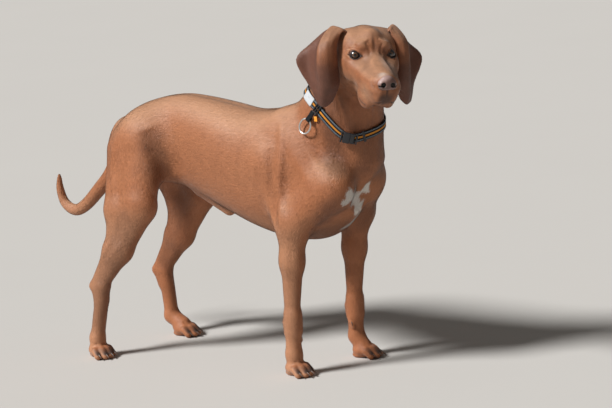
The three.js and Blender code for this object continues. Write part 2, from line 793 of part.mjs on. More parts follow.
function addNeckAndTrunk() {
  const neck = volumeSolid(bodyForms, [70, -120, 455], [345, 120, 705], [30, 28, 29]);
  addNode('neck', keep(keep(neck, headPlane, -1), neckPlane, 1), materials.coat);
  const chest = volumeSolid(bodyForms, [-40, -150, 255], [300, 150, 640], RUMP.step);
  const chestCell = keep(keep(chest, neckPlane, -1), middlePlane, 1);
  addNode('trunk_chest', keep(chestCell, foreTopPlane, 1), materials.coat);
  const loin = volumeSolid(bodyForms, [-235, -130, 290], [30, 130, 640], [40, 31, 34]);
  addNode('trunk_belly', keep(keep(loin, middlePlane, -1), loinPlane, 1), materials.coat);
  const rump = volumeSolid(bodyForms, RUMP.low, RUMP.high, RUMP.step);
  addNode('trunk_rump', keep(keep(rump, loinPlane, -1), hindTopPlane, 1), materials.coat);
}

// ---------------------------------------------------------------- legs, paws and claws

const CLAW = { sides: 4, rings: 3, root: 3.1, tip: 0.8, long: 14, drop: 6.5 };

// A curved claw that starts inside the toe and points ahead and down.
function clawSolid(start, ahead, radius, long, drop) {
  const across = unit(cross([0, 0, 1], ahead));
  const positions = [];
  for (let ring = 0; ring < CLAW.rings; ring += 1) {
    const t = ring / (CLAW.rings - 1);
    const centre = add(add(start, times(ahead, long * t)), [0, 0, -drop * t * t]);
    const along = unit(add(times(ahead, long), [0, 0, -2 * drop * t]));
    const upward = cross(along, across);
    const size = radius * (1 - t) + CLAW.tip * t;
    for (let n = 0; n < CLAW.sides; n += 1) {
      const turn = (2 * Math.PI * n) / CLAW.sides;
      const spoke = add(times(across, Math.cos(turn) * 0.7), times(upward, Math.sin(turn)));
      positions.push(...add(centre, times(spoke, size)));
    }
  }
  const triangles = [];
  for (let ring = 0; ring < CLAW.rings - 1; ring += 1) {
    for (let n = 0; n < CLAW.sides; n += 1) {
      const a = ring * CLAW.sides + n;
      const b = ring * CLAW.sides + ((n + 1) % CLAW.sides);
      triangles.push(a, b, b + CLAW.sides, a, b + CLAW.sides, a + CLAW.sides);
    }
  }
  const end = (CLAW.rings - 1) * CLAW.sides;
  for (let n = 1; n < CLAW.sides - 1; n += 1) {
    triangles.push(0, n + 1, n, end, end + n, end + n + 1);
  }
  return solidOf(positions, triangles);
}

function toeClaw(leg, i, extra) {
  const foot = new Place(leg.paw, leg.toeOut);
  const ahead = Math.abs(i) < 1 ? 20 : 10;
  const root = foot.point(ahead + 14, i * 14, 11.5);
  return clawSolid(root, foot.axes[0], CLAW.root + extra, CLAW.long + extra, CLAW.drop);
}

function dewClaw(leg, side, extra) {
  const root = add(leg.wrist, [1, -side * 19, -31]);
  return clawSolid(root, unit([0.5, -side * 0.35, -0.3]), 2.4 + extra, 10 + extra, 4);
}

// Meshes a leg between its top plane and the floor, then parts it at the paw.
function legSolids(leg, side, top, depth) {
  const { paw } = leg;
  const ys = side === LEFT ? [-30, 175] : [-185, 30];
  const shaft = volumeSolid(
    bodyForms,
    [paw[0] - depth, ys[0], 30],
    [paw[0] + depth, ys[1], top.at[2] + 60],
    [14.5, 14, 38],
  );
  const foot = volumeSolid(
    bodyForms,
    [paw[0] - 62, paw[1] - 52, -26],
    [paw[0] + 62, paw[1] + 52, 96],
    [13.2, 13, 13],
  );
  return {
    shaft: keep(keep(keep(shaft, top, -1), pawPlane, 1), medianPlane, side),
    paw: keep(keep(foot, pawPlane, -1), floorPlane, 1),
  };
}

function addPaw(nodeName, leg, solid) {
  let paw = solid;
  TOES.forEach((i, n) => {
    paw = paw.subtract(toeClaw(leg, i, GAP));
    addNode(`claw_${nodeName}_${n + 1}`, toeClaw(leg, i, 0), materials.claw);
  });
  addNode(`paw_${nodeName}`, paw, materials.coat);
}

function addForelegs() {
  for (const [name, side] of Object.entries(SIDES)) {
    const leg = FORELEGS[name];
    const { shaft, paw } = legSolids(leg, side, foreTopPlane, 110);
    addNode(`foreleg_${name}`, shaft.subtract(dewClaw(leg, side, GAP)), materials.coat);
    addNode(`claw_fore_${name}_dew`, dewClaw(leg, side, 0), materials.claw);
    addPaw(`fore_${name}`, leg, paw);
  }
}

function addHindlegs() {
  for (const [name, side] of Object.entries(SIDES)) {
    const leg = HINDLEGS[name];
    const { shaft, paw } = legSolids(leg, side, hindTopPlane, 215);
    addNode(`thigh_${name}`, keep(shaft, hockPlane, 1), materials.coat);
    addNode(`hock_${name}`, keep(shaft, hockPlane, -1), materials.coat);
    addPaw(`hind_${name}`, leg, paw);
  }
}

// ---------------------------------------------------------------- tail

const TAIL_SIDES = 8;
const TAIL_RINGS = 17;

function addTail() {
  const line = new THREE.CatmullRomCurve3(TAIL.stations.map((p) => new THREE.Vector3(...p)));
  const positions = [];
  for (let ring = 0; ring < TAIL_RINGS; ring += 1) {
    const t = ring / (TAIL_RINGS - 1);
    const centre = line.getPoint(t).toArray();
    const along = line.getTangent(t).toArray();
    const upward = cross(along, SIDEWAYS);
    const spot = t * (TAIL.radii.length - 1);
    const station = Math.min(Math.floor(spot), TAIL.radii.length - 2);
    const share = spot - station;
    const radius = TAIL.radii[station] * (1 - share) + TAIL.radii[station + 1] * share;
    for (let n = 0; n < TAIL_SIDES; n += 1) {
      const turn = (2 * Math.PI * n) / TAIL_SIDES;
      const spoke = add(times(SIDEWAYS, Math.cos(turn)), times(upward, Math.sin(turn)));
      positions.push(...add(centre, times(spoke, radius)));
    }
  }
  const triangles = [];
  for (let ring = 0; ring < TAIL_RINGS - 1; ring += 1) {
    for (let n = 0; n < TAIL_SIDES; n += 1) {
      const a = ring * TAIL_SIDES + n;
      const b = ring * TAIL_SIDES + ((n + 1) % TAIL_SIDES);
      triangles.push(a, b, b + TAIL_SIDES, a, b + TAIL_SIDES, a + TAIL_SIDES);
    }
  }
  const end = (TAIL_RINGS - 1) * TAIL_SIDES;
  for (let n = 1; n < TAIL_SIDES - 1; n += 1) {
    triangles.push(0, n + 1, n, end, end + n, end + n + 1);
  }
  const seat = volumeSolid(bodyForms, RUMP.low, RUMP.high, RUMP.step, GAP);
  addNode('tail', solidOf(positions, triangles).subtract(seat), materials.coat);
}

// ---------------------------------------------------------------- collar

// Where a ray from the neck's middle leaves the body: the collar's line at one angle.
function collarSpot(angle) {
  const turn = radians(angle);
  const past = (angle - COLLAR.sagAngle) / COLLAR.sagSpread;
  const sag = COLLAR.sag * Math.exp(-past * past / 2);
  const start = [COLLAR.centreX, 0, COLLAR.height - sag];
  const ray = [Math.cos(turn), Math.sin(turn), COLLAR.slope * Math.cos(turn)];
  let inside = 20;
  let outside = 170;
  for (let i = 0; i < 24; i += 1) {
    const middle = (inside + outside) / 2;
    if (distanceTo(bodyForms, ...add(start, times(ray, middle))) < 0) inside = middle;
    else outside = middle;
  }
  return add(start, times(ray, inside));
}

// Four corners of a band's section: both edges, at its inner and outer face.
function bandSection(angle, band) {
  const spot = collarSpot(angle);
  const along = unit(sub(collarSpot(angle + 2), collarSpot(angle - 2)));
  const across = unit(cross(unit(outwardOf(bodyForms, spot)), along));
  const edge = (share) => add(spot, times(across, share * band.width / 2));
  return [
    settle(bodyForms, edge(-1), band.inner, 5),
    settle(bodyForms, edge(-1), band.outer, 5),
    settle(bodyForms, edge(1), band.outer, 5),
    settle(bodyForms, edge(1), band.inner, 5),
  ];
}

// Joins equal sections into one body, closed on itself or capped at both ends.
function loftSections(sections, closed) {
  const sides = sections[0].length;
  const positions = sections.flat(2);
  const triangles = [];
  const joins = closed ? sections.length : sections.length - 1;
  for (let i = 0; i < joins; i += 1) {
    const next = (i + 1) % sections.length;
    for (let n = 0; n < sides; n += 1) {
      const m = (n + 1) % sides;
      const a = i * sides + n;
      const b = i * sides + m;
      triangles.push(a, next * sides + m, b, a, next * sides + n, next * sides + m);
    }
  }
  const end = (sections.length - 1) * sides;
  for (let n = 1; n < sides - 1 && !closed; n += 1) {
    triangles.push(0, n, n + 1, end, end + n + 1, end + n);
  }
  return solidOf(positions, triangles);
}

function bandSolid(band) {
  const sections = [];
  for (let i = 0; i <= band.segments; i += 1) {
    sections.push(bandSection(band.from + ((band.to - band.from) * i) / band.segments, band));
  }
  return loftSections(sections, false);
}

function strapSolid() {
  const sections = [];
  for (let i = 0; i < COLLAR.stations; i += 1) {
    sections.push(bandSection(-180 + (360 * i) / COLLAR.stations, STRAP));
  }
  return loftSections(sections, true);
}

// A point off the body's right side, found along Y.
function rightSide(x, z, lift) {
  let inside = 0;
  let outside = -200;
  for (let i = 0; i < 24; i += 1) {
    const middle = (inside + outside) / 2;
    if (distanceTo(bodyForms, x, middle, z) < lift) inside = middle;
    else outside = middle;
  }
  return [x, inside, z];
}

// Turns a geometry's X, Y and Z onto three directions and moves it to a point.
function placeGeometry(geometry, at, x, y, z) {
  const turn = new THREE.Matrix4().makeBasis(
    new THREE.Vector3(...x), new THREE.Vector3(...y), new THREE.Vector3(...z));
  return geometry.applyMatrix4(turn).translate(...at);
}

// The ring's own directions: down along its hang, across, and out from the neck.
function ringAxes() {
  const centre = rightSide(RING.x, RING.z, RING.lift);
  const top = rightSide(LOOP.fromX, LOOP.fromZ, LOOP.lift);
  const out = unit(outwardOf(bodyForms, centre, 6));
  const hang = sub(centre, top);
  const down = unit(sub(hang, times(out, dot(hang, out))));
  return { centre, top, down, out, across: unit(cross(down, out)) };
}

function ringSolid() {
  const { centre, down, out, across } = ringAxes();
  const ring = new THREE.TorusGeometry(RING.wide, RING.wire, RING.sides, RING.segments);
  ring.scale(1, RING.long / RING.wide, 1);
  return solidFromGeometry(placeGeometry(ring, centre, times(across, -1), times(down, -1), out));
}

// A folded strip of webbing: a flat loop whose round end holds the ring's wire.
function loopSolid() {
  const { centre, down, out, across } = ringAxes();
  const eye = add(centre, times(down, -(RING.long - 0.7)));
  const long = length(sub(eye, rightSide(LOOP.fromX, LOOP.fromZ, LOOP.lift)));
  const outer = LOOP.bore + LOOP.wall;
  const outline = new THREE.Shape();
  outline.moveTo(-LOOP.wall, long);
  outline.lineTo(-outer, outer * 0.8);
  outline.absarc(0, 0, outer, Math.PI * 0.85, Math.PI * 2.15, false);
  outline.lineTo(LOOP.wall, long);
  outline.closePath();
  outline.holes.push(new THREE.Path().absarc(0, 0, LOOP.bore, 0, Math.PI * 2, true));
  const strip = new THREE.ExtrudeGeometry(outline, {
    depth: LOOP.width,
    bevelEnabled: false,
    curveSegments: 6,
  });
  strip.translate(0, 0, -LOOP.width / 2);
  return solidFromGeometry(placeGeometry(strip, eye, out, times(down, -1), across));
}

function tagSolid() {
  const at = rightSide(TAG.x, TAG.z, TAG.lift);
  const out = unit(outwardOf(bodyForms, at, 6));
  const across = unit(cross([0, 0, 1], out));
  const box = new THREE.BoxGeometry(TAG.wide, TAG.long, TAG.thick);
  return solidFromGeometry(placeGeometry(box, at, across, cross(out, across), out));
}

function addCollar() {
  addNode('collar_strap', strapSolid(), materials.webbing);
  addNode('collar_sleeve', bandSolid(BANDS.sleeve), materials.sleeve);
  addNode('collar_slider', bandSolid(BANDS.slider), materials.plastic);
  addNode('collar_buckle', bandSolid(BANDS.buckle), materials.plastic);
  addNode('collar_keeper', bandSolid(BANDS.keeper), materials.plastic);
  addNode('collar_loop', loopSolid(), materials.webbing);
  addNode('collar_ring', ringSolid(), materials.steel);
  addNode('collar_tag', tagSolid(), materials.tag);
}

// ---------------------------------------------------------------- the whole dog

addHead();
addEars();
addNeckAndTrunk();
addForelegs();
addHindlegs();
addTail();
addCollar();

// The origin is on the floor, under the middle of the whole outline.
const outline = new THREE.Box3().setFromObject(hound);
const middle = outline.getCenter(new THREE.Vector3());
hound.children.forEach((mesh) => mesh.geometry.translate(-middle.x, -middle.y, -outline.min.z));

export default hound;
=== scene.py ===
"""A life-size short-coated red hound, standing with its head turned, in a webbing collar."""

import json
import math

import bmesh
import bpy
import numpy as np
from mathutils import Matrix, Vector
from mathutils.bvhtree import BVHTree

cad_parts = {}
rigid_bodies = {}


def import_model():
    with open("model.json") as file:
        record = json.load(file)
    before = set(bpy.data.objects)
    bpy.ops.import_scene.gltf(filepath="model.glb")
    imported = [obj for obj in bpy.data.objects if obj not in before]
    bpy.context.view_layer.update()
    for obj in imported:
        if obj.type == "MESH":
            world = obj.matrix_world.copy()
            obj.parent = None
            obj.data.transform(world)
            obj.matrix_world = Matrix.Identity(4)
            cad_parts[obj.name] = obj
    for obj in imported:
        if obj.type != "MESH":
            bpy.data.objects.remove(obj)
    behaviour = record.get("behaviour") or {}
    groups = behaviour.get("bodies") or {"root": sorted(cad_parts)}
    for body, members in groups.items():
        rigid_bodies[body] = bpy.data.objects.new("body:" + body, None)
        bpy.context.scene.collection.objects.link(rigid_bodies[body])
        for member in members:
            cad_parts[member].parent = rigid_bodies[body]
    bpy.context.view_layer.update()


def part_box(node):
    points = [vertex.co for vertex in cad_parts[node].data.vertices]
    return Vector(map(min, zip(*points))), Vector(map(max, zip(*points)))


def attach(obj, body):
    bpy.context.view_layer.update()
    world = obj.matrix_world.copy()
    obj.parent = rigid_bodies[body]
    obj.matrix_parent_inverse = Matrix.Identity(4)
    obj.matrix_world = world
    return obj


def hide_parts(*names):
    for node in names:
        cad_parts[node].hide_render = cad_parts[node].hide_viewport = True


bl_info = {
    "name": "Standing hound",
    "version": (1, 0, 0),
    "blender": (4, 5, 0),
    "location": "View3D > Sidebar > Hound",
    "description": "Dresses the packed solids of a standing hound with skin, coat, eyes and collar",
    "category": "Object",
}

for unused in list(bpy.data.objects):
    bpy.data.objects.remove(unused)
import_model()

MM = 0.001
RIGHT, LEFT = -1, 1
SIDES = {"right": RIGHT, "left": LEFT}


# ------------------------------------------------------------------ places and directions

def vec(*values):
    return np.array(values, float)


def unit(v):
    v = np.asarray(v, float)
    return v / (np.linalg.norm(v, axis=-1, keepdims=True) + 1e-12)


def turned(yaw=0.0, pitch=0.0, roll=0.0):
    """Forward, left and up as columns: yaw turns left, pitch lifts the nose."""
    y, p, r = np.radians([yaw, pitch, roll])
    about_z = np.array([[np.cos(y), -np.sin(y), 0], [np.sin(y), np.cos(y), 0], [0, 0, 1]])
    about_y = np.array([[np.cos(p), 0, -np.sin(p)], [0, 1, 0], [np.sin(p), 0, np.cos(p)]])
    about_x = np.array([[1, 0, 0], [0, np.cos(r), -np.sin(r)], [0, np.sin(r), np.cos(r)]])
    return about_z @ about_y @ about_x


class Place:
    """A point with its own forward, left and up. Sizes along them are in millimetres."""

    def __init__(self, at, axes):
        self.at = np.asarray(at, float)
        self.axes = axes

    def point(self, x, y, z):
        return self.at + self.axes @ (vec(x, y, z) * MM)

    def points(self, rows):
        return self.at + (np.asarray(rows, float) * MM) @ self.axes.T

    def local(self, points):
        return (points - self.at) @ self.axes / MM

    def direction(self, x, y, z):
        return unit(self.axes @ vec(x, y, z))


# The hound's own measures, in millimetres: x ahead, y to its left, z up from the floor.
HEAD = Place(vec(333, -60, 722) * MM, turned(-39, -2, -4))
EYE_AT = (-3.0, 38.5, 0.0)
EYE_RADIUS = 12.5
EYE_OPENING = (21.0, 12.0)
NOSTRIL = (112, 10.2, -46.5)

# x, top, bottom and half width of the trunk, from the rump to the breastbone.
TRUNK = np.array([
    (-414, 513, 458, 26), (-388, 549, 432, 50), (-345, 578, 416, 64), (-290, 597, 400, 70),
    (-225, 606, 388, 69), (-160, 601, 364, 78), (-95, 591, 338, 90), (-30, 580, 314, 97),
    (35, 584, 297, 98), (95, 585, 291, 92), (150, 564, 298, 83), (195, 527, 322, 70),
    (230, 490, 360, 50),
]) * MM
TRUNK_ROUNDNESS = 2.25
TRUNK_TOP_SPREAD = 0.10

FORELEGS = {
    RIGHT: dict(shoulder=(206, -66, 425), elbow=(111, -86, 345), wrist=(98, -86, 118),
                knuckle=(96, -86, 48), paw=(101, -85, 0), toe_out=-8),
    LEFT: dict(shoulder=(206, 62, 425), elbow=(154, 94, 340), wrist=(134, 104, 116),
               knuckle=(133, 106, 48), paw=(153, 107, 0), toe_out=12),
}
HINDLEGS = {
    RIGHT: dict(hip=(-335, -50, 490), knee=(-302, -100, 352), hock=(-413, -124, 158),
                knuckle=(-432, -130, 45), paw=(-428, -131, 0), toe_out=-16),
    LEFT: dict(hip=(-335, 50, 490), knee=(-288, 108, 345), hock=(-415, 110, 146),
               knuckle=(-402, 111, 45), paw=(-366, 111, 0), toe_out=5),
}
TOES = (-1.5, -0.5, 0.5, 1.5)

TAIL_LINE = [(-398, 512), (-430, 455), (-466, 402), (-503, 366), (-545, 328),
             (-580, 311), (-611, 325), (-624, 358), (-624, 392)]
TAIL_RADII = [27, 20.5, 18, 16.5, 15, 13.5, 11.5, 9.5, 5]

# Ear folds in the head's frame, from the root to the tip, y outward: the front edge, the
# strip behind it, its ridge, the hollow of the flap and the rear edge.
EAR_FOLDS = [
    [(-40, 44, 40), (-36, 57, 45), (-28, 71, 18), (-27, 68, -24), (-27, 65, -65), (-34, 76, -103)],
    [(-52, 52, 46), (-47, 65, 49), (-22, 90, 23), (-12, 90, -22), (-12, 87, -69), (-34, 86, -112)],
    [(-66, 58, 44), (-62, 74, 49), (-34, 104, 20), (-19, 111, -19), (-19, 105, -76), (-38, 96, -116)],
    [(-80, 58, 38), (-78, 78, 42), (-62, 111, 17), (-60, 122, -24), (-42, 112, -78), (-44, 104, -112)],
    [(-92, 56, 26), (-94, 77, 28), (-84, 118, 9), (-72, 148, -21), (-58, 121, -75), (-50, 108, -104)],
]
# The left ear lies closer to the cheek, in its middle and by its front edge.
EAR_LEFT_TUCK = 25.0
EAR_LEFT_FRONT_TUCK = 9

# The camera's angle round the hound, its height, its roll, where it looks and from how far.
VIEW = dict(round=math.radians(36), height=math.radians(11.3), roll=math.radians(3.5),
            target=(0.12, -0.04, 0.38), distance=6.0, lens=160.6)

COLLAR = dict(centre_x=205, height=599, slope=-0.5, sag=36, sag_angle=-50, sag_spread=27)
STRAP_WIDTH, STRAP_INNER, STRAP_OUTER = 20, 1.6, 4.2
RING = dict(x=160, z=563, lift=9.5, long=17, wide=15, wire=1.9)
LOOP = dict(x=178, z=592, width=12, wall=1.3, bore=3.3, lift=9)
TAG = dict(x=186, z=579, lift=4.5, long=11, wide=8, thick=1.6)


def origin_of_solids():
    """Where the hound's own origin lies in the solids' frame, read off their eyes."""
    centres = [np.mean(np.array(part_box(f"eye_{name}")), axis=0) for name in SIDES]
    return np.mean(centres, axis=0) - HEAD.point(EYE_AT[0], 0, EYE_AT[2])


ORIGIN = origin_of_solids()


# ------------------------------------------------------------------ the body as a field

def smooth_min(a, b, reach):
    share = np.maximum(reach - np.abs(a - b), 0) / reach
    return np.minimum(a, b) - share * share * reach * 0.25


def hermite(xs, ys):
    slopes = np.zeros_like(ys)
    slopes[1:-1] = (ys[2:] - ys[:-2]) / (xs[2:] - xs[:-2])
    slopes[0] = (ys[1] - ys[0]) / (xs[1] - xs[0])
    slopes[-1] = (ys[-1] - ys[-2]) / (xs[-1] - xs[-2])

    def curve(x):
        x = np.clip(x, xs[0], xs[-1])
        i = np.clip(np.searchsorted(xs, x, side="right") - 1, 0, len(xs) - 2)
        h = xs[i + 1] - xs[i]
        t = (x - xs[i]) / h
        return ((2 * t**3 - 3 * t**2 + 1) * ys[i] + (t**3 - 2 * t**2 + t) * h * slopes[i]
                + (-2 * t**3 + 3 * t**2) * ys[i + 1] + (t**3 - t**2) * h * slopes[i + 1])
    return curve


def smooth_path(points, bends):
    """A smooth curve through points, with a few steps between each two."""
    padded = np.vstack([2 * points[0] - points[1], points, 2 * points[-1] - points[-2]])
    result = []
    for i in range(len(points) - 1):
        a, b, c, d = padded[i:i + 4]
        for t in np.linspace(0, 1, bends, endpoint=False):
            result.append(0.5 * (2 * b + (c - a) * t + (2 * a - 5 * b + 4 * c - d) * t * t
                                 + (3 * b - a - 3 * c + d) * t**3))
    result.append(points[-1])
    return np.array(result)


class Body:
    """Round forms melted into each other: the distance is negative inside."""

    def __init__(self):
        self.forms = []

    def add(self, shape, low, high, blend, flow=None, carve=False):
        self.forms.append((shape, np.asarray(low), np.asarray(high), blend * MM, flow, carve))

    def cone(self, a, b, ra, rb, blend, flat=1.0, flow=None, side=None):
        a, b = np.asarray(a, float) * MM, np.asarray(b, float) * MM
        self.cone_at(a, b, ra, rb, blend, flat, flow, vec(0, 1, 0) if side is None else side)

    def cone_at(self, a, b, ra, rb, blend, flat=1.0, flow=None, side=None, carve=False):
        ra, rb = ra * MM, rb * MM
        span = b - a
        reach = span @ span

        def shape(p):
            pa = p - a
            t = np.clip(pa @ span / reach, 0, 1)
            v = pa - t[..., None] * span
            far = np.sqrt((v * v).sum(-1)) + 1e-9
            radius = ra + (rb - ra) * t
            if flat == 1.0:
                return far - radius
            w = v + ((1 / flat - 1) * (v @ side))[..., None] * side
            near = np.sqrt((w * w).sum(-1)) + 1e-9
            return (near - radius) * far / near
        most = max(ra, rb)
        self.add(shape, np.minimum(a, b) - most, np.maximum(a, b) + most, blend,
                 unit(span) if flow is None else flow, carve)

    def blob_at(self, centre, radii, blend, axes=None, flow=None, carve=False):
        radii = np.asarray(radii, float) * MM
        axes = np.eye(3) if axes is None else axes

        def shape(p):
            q = (p - centre) @ axes
            k0 = np.sqrt(((q / radii) ** 2).sum(-1))
            k1 = np.sqrt(((q / (radii * radii)) ** 2).sum(-1)) + 1e-9
            return k0 * (k0 - 1) / k1
        spread = np.sqrt(((axes * radii) ** 2).sum(1))
        self.add(shape, centre - spread, centre + spread, blend, flow, carve)

    def melt(self, distance, value, blend, carve):
        if carve:
            return -smooth_min(-distance, value, blend)
        return smooth_min(distance, value, blend)

    def distance(self, points):
        result = np.full(len(points), 0.25)
        for shape, low, high, blend, _, carve in self.forms:
            margin = blend + 0.03
            near = np.all((points > low - margin) & (points < high + margin), axis=-1)
            if near.any():
                result[near] = self.melt(result[near], shape(points[near]), blend, carve)
        return result

    def on_grid(self, low, high, step):
        count = np.ceil((np.asarray(high) - low) / step).astype(int) + 1
        axes = [low[i] + step * np.arange(count[i]) for i in range(3)]
        result = np.full(count, 0.25)
        for shape, form_low, form_high, blend, _, carve in self.forms:
            margin = blend + 0.03
            window = []
            for i in range(3):
                first = max(0, int((form_low[i] - margin - low[i]) / step))
                last = min(count[i], int((form_high[i] + margin - low[i]) / step) + 2)
                window.append(slice(first, max(first, last)))
            if any(w.stop <= w.start for w in window):
                continue
            nodes = np.stack(np.meshgrid(*[axes[i][window[i]] for i in range(3)], indexing="ij"), -1)
            window = tuple(window)
            result[window] = self.melt(result[window], shape(nodes), blend, carve)
        return result

    def hair_flow(self, points, normals):
        """The way the hair lies: each form's own direction, weighed by how near it is."""
        total = np.zeros_like(points)
        for shape, low, high, _, flow, carve in self.forms:
            if carve or flow is None:
                continue
            near = np.all((points > low - 0.03) & (points < high + 0.03), axis=-1)
            if near.any():
                weight = np.exp(-np.clip(shape(points[near]), -0.012, 0.04) / 0.009)
                total[near] += weight[:, None] * flow
        total += vec(-0.03, 0, -0.02)
        total -= (total * normals).sum(1, keepdims=True) * normals
        return unit(total)


def trunk_form():
    xs = TRUNK[:, 0]
    top, bottom, half = [hermite(xs, TRUNK[:, i]) for i in (1, 2, 3)]
    n = TRUNK_ROUNDNESS

    def shape(p):
        high, low, wide = top(p[..., 0]), bottom(p[..., 0]), half(p[..., 0])
        middle, tall = (high + low) / 2, (high - low) / 2
        dz = p[..., 2] - middle
        wide = wide * (1 + TRUNK_TOP_SPREAD * np.clip(dz / tall, -1.3, 1.3))
        rho = ((np.abs(p[..., 1]) / wide) ** n + (np.abs(dz) / tall) ** n) ** (1 / n) + 1e-6
        far = np.sqrt(p[..., 1] ** 2 + dz**2) + 1e-9
        d = far - far / rho
        past = np.maximum(xs[0] - p[..., 0], p[..., 0] - xs[-1])
        outside = np.sqrt(np.maximum(d, 0) ** 2 + np.maximum(past, 0) ** 2)
        return np.where(past > 0, outside, np.maximum(d, past))
    return shape


def spot(p, dx=0.0, dy=0.0, dz=0.0):
    return np.asarray(p, float) + vec(dx, dy, dz)


def add_paw(body, knuckle, paw, toe_out):
    axes = turned(toe_out)
    foot = Place(np.asarray(paw, float) * MM, axes)
    ahead = axes[:, 0]
    body.cone_at(np.asarray(knuckle) * MM, foot.point(-4, 0, 26), 18.5, 20, 10)
    body.blob_at(foot.point(0, 0, 17), (30, 24, 16), 8, axes, flow=ahead)
    for i in TOES:
        x = 20 if abs(i) < 1 else 10
        body.cone_at(foot.point(x, i * 13, 19), foot.point(x + 12, i * 14, 8.2), 9.2, 8.8, 5)
    body.blob_at(foot.point(-14, 0, 6), (17, 16, 9), 5, axes, flow=-ahead)


def add_forelegs(body):
    for s, leg in FORELEGS.items():
        shoulder, elbow, wrist, knuckle = [
            np.asarray(leg[k], float) for k in ("shoulder", "elbow", "wrist", "knuckle")]
        upper = elbow * 0.62 + wrist * 0.38
        down = unit(vec(-0.45, 0, -1))
        body.cone((78, s * 32, 545), shoulder, 36, 42, 40, 0.7, flow=down)
        body.cone(shoulder, spot(elbow, 10, 0, 10), 44, 42, 40, 0.85, flow=down)
        body.cone((55, s * 70, 470), spot(elbow, -22, -s * 4, 12), 40, 22, 35, 0.75, flow=down)
        body.cone(spot(elbow, 6, 0, -5), upper, 34, 28.5, 30, 0.85)
        body.cone(upper, spot(wrist, 0, 0, 20), 27.5, 18.5, 20, 0.86)
        body.cone(spot(wrist, 2, 0, 18), spot(wrist, 2, 0, -14), 20.5, 19, 12)
        body.cone(spot(wrist, -18, 0, 2), spot(wrist, -14, 0, -18), 8.5, 7, 12)
        body.cone(wrist, knuckle, 18.5, 18.5, 12)
        body.cone(spot(elbow, -26, 0, 12), spot(elbow, -12, 0, -70), 13, 12, 20)
        body.cone(spot(wrist, -2, -s * 17, -30), spot(wrist, 6, -s * 19, -42), 6, 5, 6)
        add_paw(body, knuckle, leg["paw"], leg["toe_out"])


def add_hindlegs(body):
    for s, leg in HINDLEGS.items():
        hip, knee, hock, knuckle = [
            np.asarray(leg[k], float) for k in ("hip", "knee", "hock", "knuckle")]
        calf = (knee + hock) / 2
        body.cone(spot(hip, 20, s * 8, 0), spot(knee, 0, 0, 20), 70, 42, 50, 0.72,
                  flow=unit(vec(-0.2, 0, -1)))
        body.cone((-377, s * 46, 467), spot(knee, -72, 0, -5), 48, 30, 40, 0.75,
                  flow=unit(vec(-0.1, 0, -1)))
        body.cone(knee, calf, 37, 28, 30, 0.8)
        body.cone(spot(knee, -62, 0, -10), spot(calf, -28, 0, 0), 28, 19, 30, 0.75)
        body.cone(calf, spot(hock, 5, 0, 20), 28, 18, 22, 0.8)
        body.cone(spot(calf, -32, 0, 0), spot(hock, -22, 0, 10), 14, 10, 20)
        body.cone(spot(hock, -20, 0, 8), spot(hock, -4, 0, -22), 12.5, 14, 12)
        body.cone(spot(hock, 4, 0, 8), knuckle, 18, 17, 14)
        add_paw(body, knuckle, leg["paw"], leg["toe_out"])


def add_neck(body):
    back = HEAD.point(-100, 0, 0) / MM
    under = HEAD.point(-55, 0, -60) / MM
    along = unit(vec(-0.75, 0.1, -1))
    down = unit(vec(-0.25, 0.05, -1))
    body.cone((118, 0, 470), (196, 0, 576), 94, 70, 40, 0.86, flow=along)
    body.cone((196, 0, 576), back * 0.5 + under * 0.5, 70, 56, 40, 0.92, flow=along)
    body.cone((88, 0, 543), (165, 0, 595), 35, 37, 40, flow=unit(vec(-1, 0, -0.5)))
    body.cone((165, 0, 595), back, 37, 34, 40, flow=unit(vec(-1, 0, -0.8)))
    body.cone((227, 15, 487), (254, 3, 605), 62, 39, 45, flow=down)


def add_head(body):
    def cone(a, b, ra, rb, blend, flat=1.0, flow=(-1, 0, 0.1)):
        body.cone_at(HEAD.point(*a), HEAD.point(*b), ra, rb, blend, flat,
                     HEAD.direction(*flow), HEAD.axes[:, 1])

    def blob(at, radii, blend, pitch=0.0, flow=(-1, 0, 0.1)):
        body.blob_at(HEAD.point(*at), radii, blend, HEAD.axes @ turned(0, pitch), HEAD.direction(*flow))

    blob((-58, 0, 6), (70, 55, 48), 10)
    cone((-118, 0, 18), (-20, 0, 34), 20, 18, 20)
    blob((-14, 0, 4), (26, 34, 30), 20, flow=(-0.5, 0, 1))
    for s in (RIGHT, LEFT):
        blob((-40, s * 42, -30), (48, 23, 38), 25, flow=(-1, 0, -0.5))
        cone((-55, s * 53, -12), (-2, s * 44, -18), 12, 9, 20, flow=(-1, 0, -0.2))
        blob((-46, s * 36, 14), (36, 24, 30), 16, flow=(-1, 0, -0.3))
        blob((0, s * 25, 19), (12, 12, 9.5), 12, flow=(-0.4, s * 0.7, 0.6))
        cone((4, s * 26, -34), (84, s * 14, -50), 25, 21, 20, flow=(-1, s * 0.1, -0.2))
        blob((34, s * 22.5, -76), (44, 16.5, 34), 18, pitch=6, flow=(-1, 0, -0.7))
        blob((84, s * 13, -66), (26, 16, 27), 14, flow=(-1, s * 0.3, -0.6))
        cone((-58, s * 30, 30), (-66, s * 62, 32), 14, 13, 20, flow=(-0.6, s, -0.4))
    cone((4, 0, -12), (96, 0, -36), 19, 14, 18, flat=1.15, flow=(-1, 0, 0.2))
    cone((-45, 0, -70), (70, 0, -82), 30, 14, 20, flat=0.9, flow=(-1, 0, -0.2))
    blob((-50, 0, -52), (50, 44, 40), 20, flow=(-1, 0, -0.6))


def add_tail(body):
    line = np.array([(x, 0, z) for x, z in TAIL_LINE], float)
    body.cone(line[0], line[0] * 0.45 + line[1] * 0.55, 26, 22, 30)
    curve = smooth_path(line, 4)
    radii = np.interp(np.arange(len(curve)) / 4, np.arange(len(line)), TAIL_RADII)
    for i in range(len(curve) - 1):
        body.cone(curve[i], curve[i + 1], radii[i], radii[i + 1], 30 if i < 4 else 5)


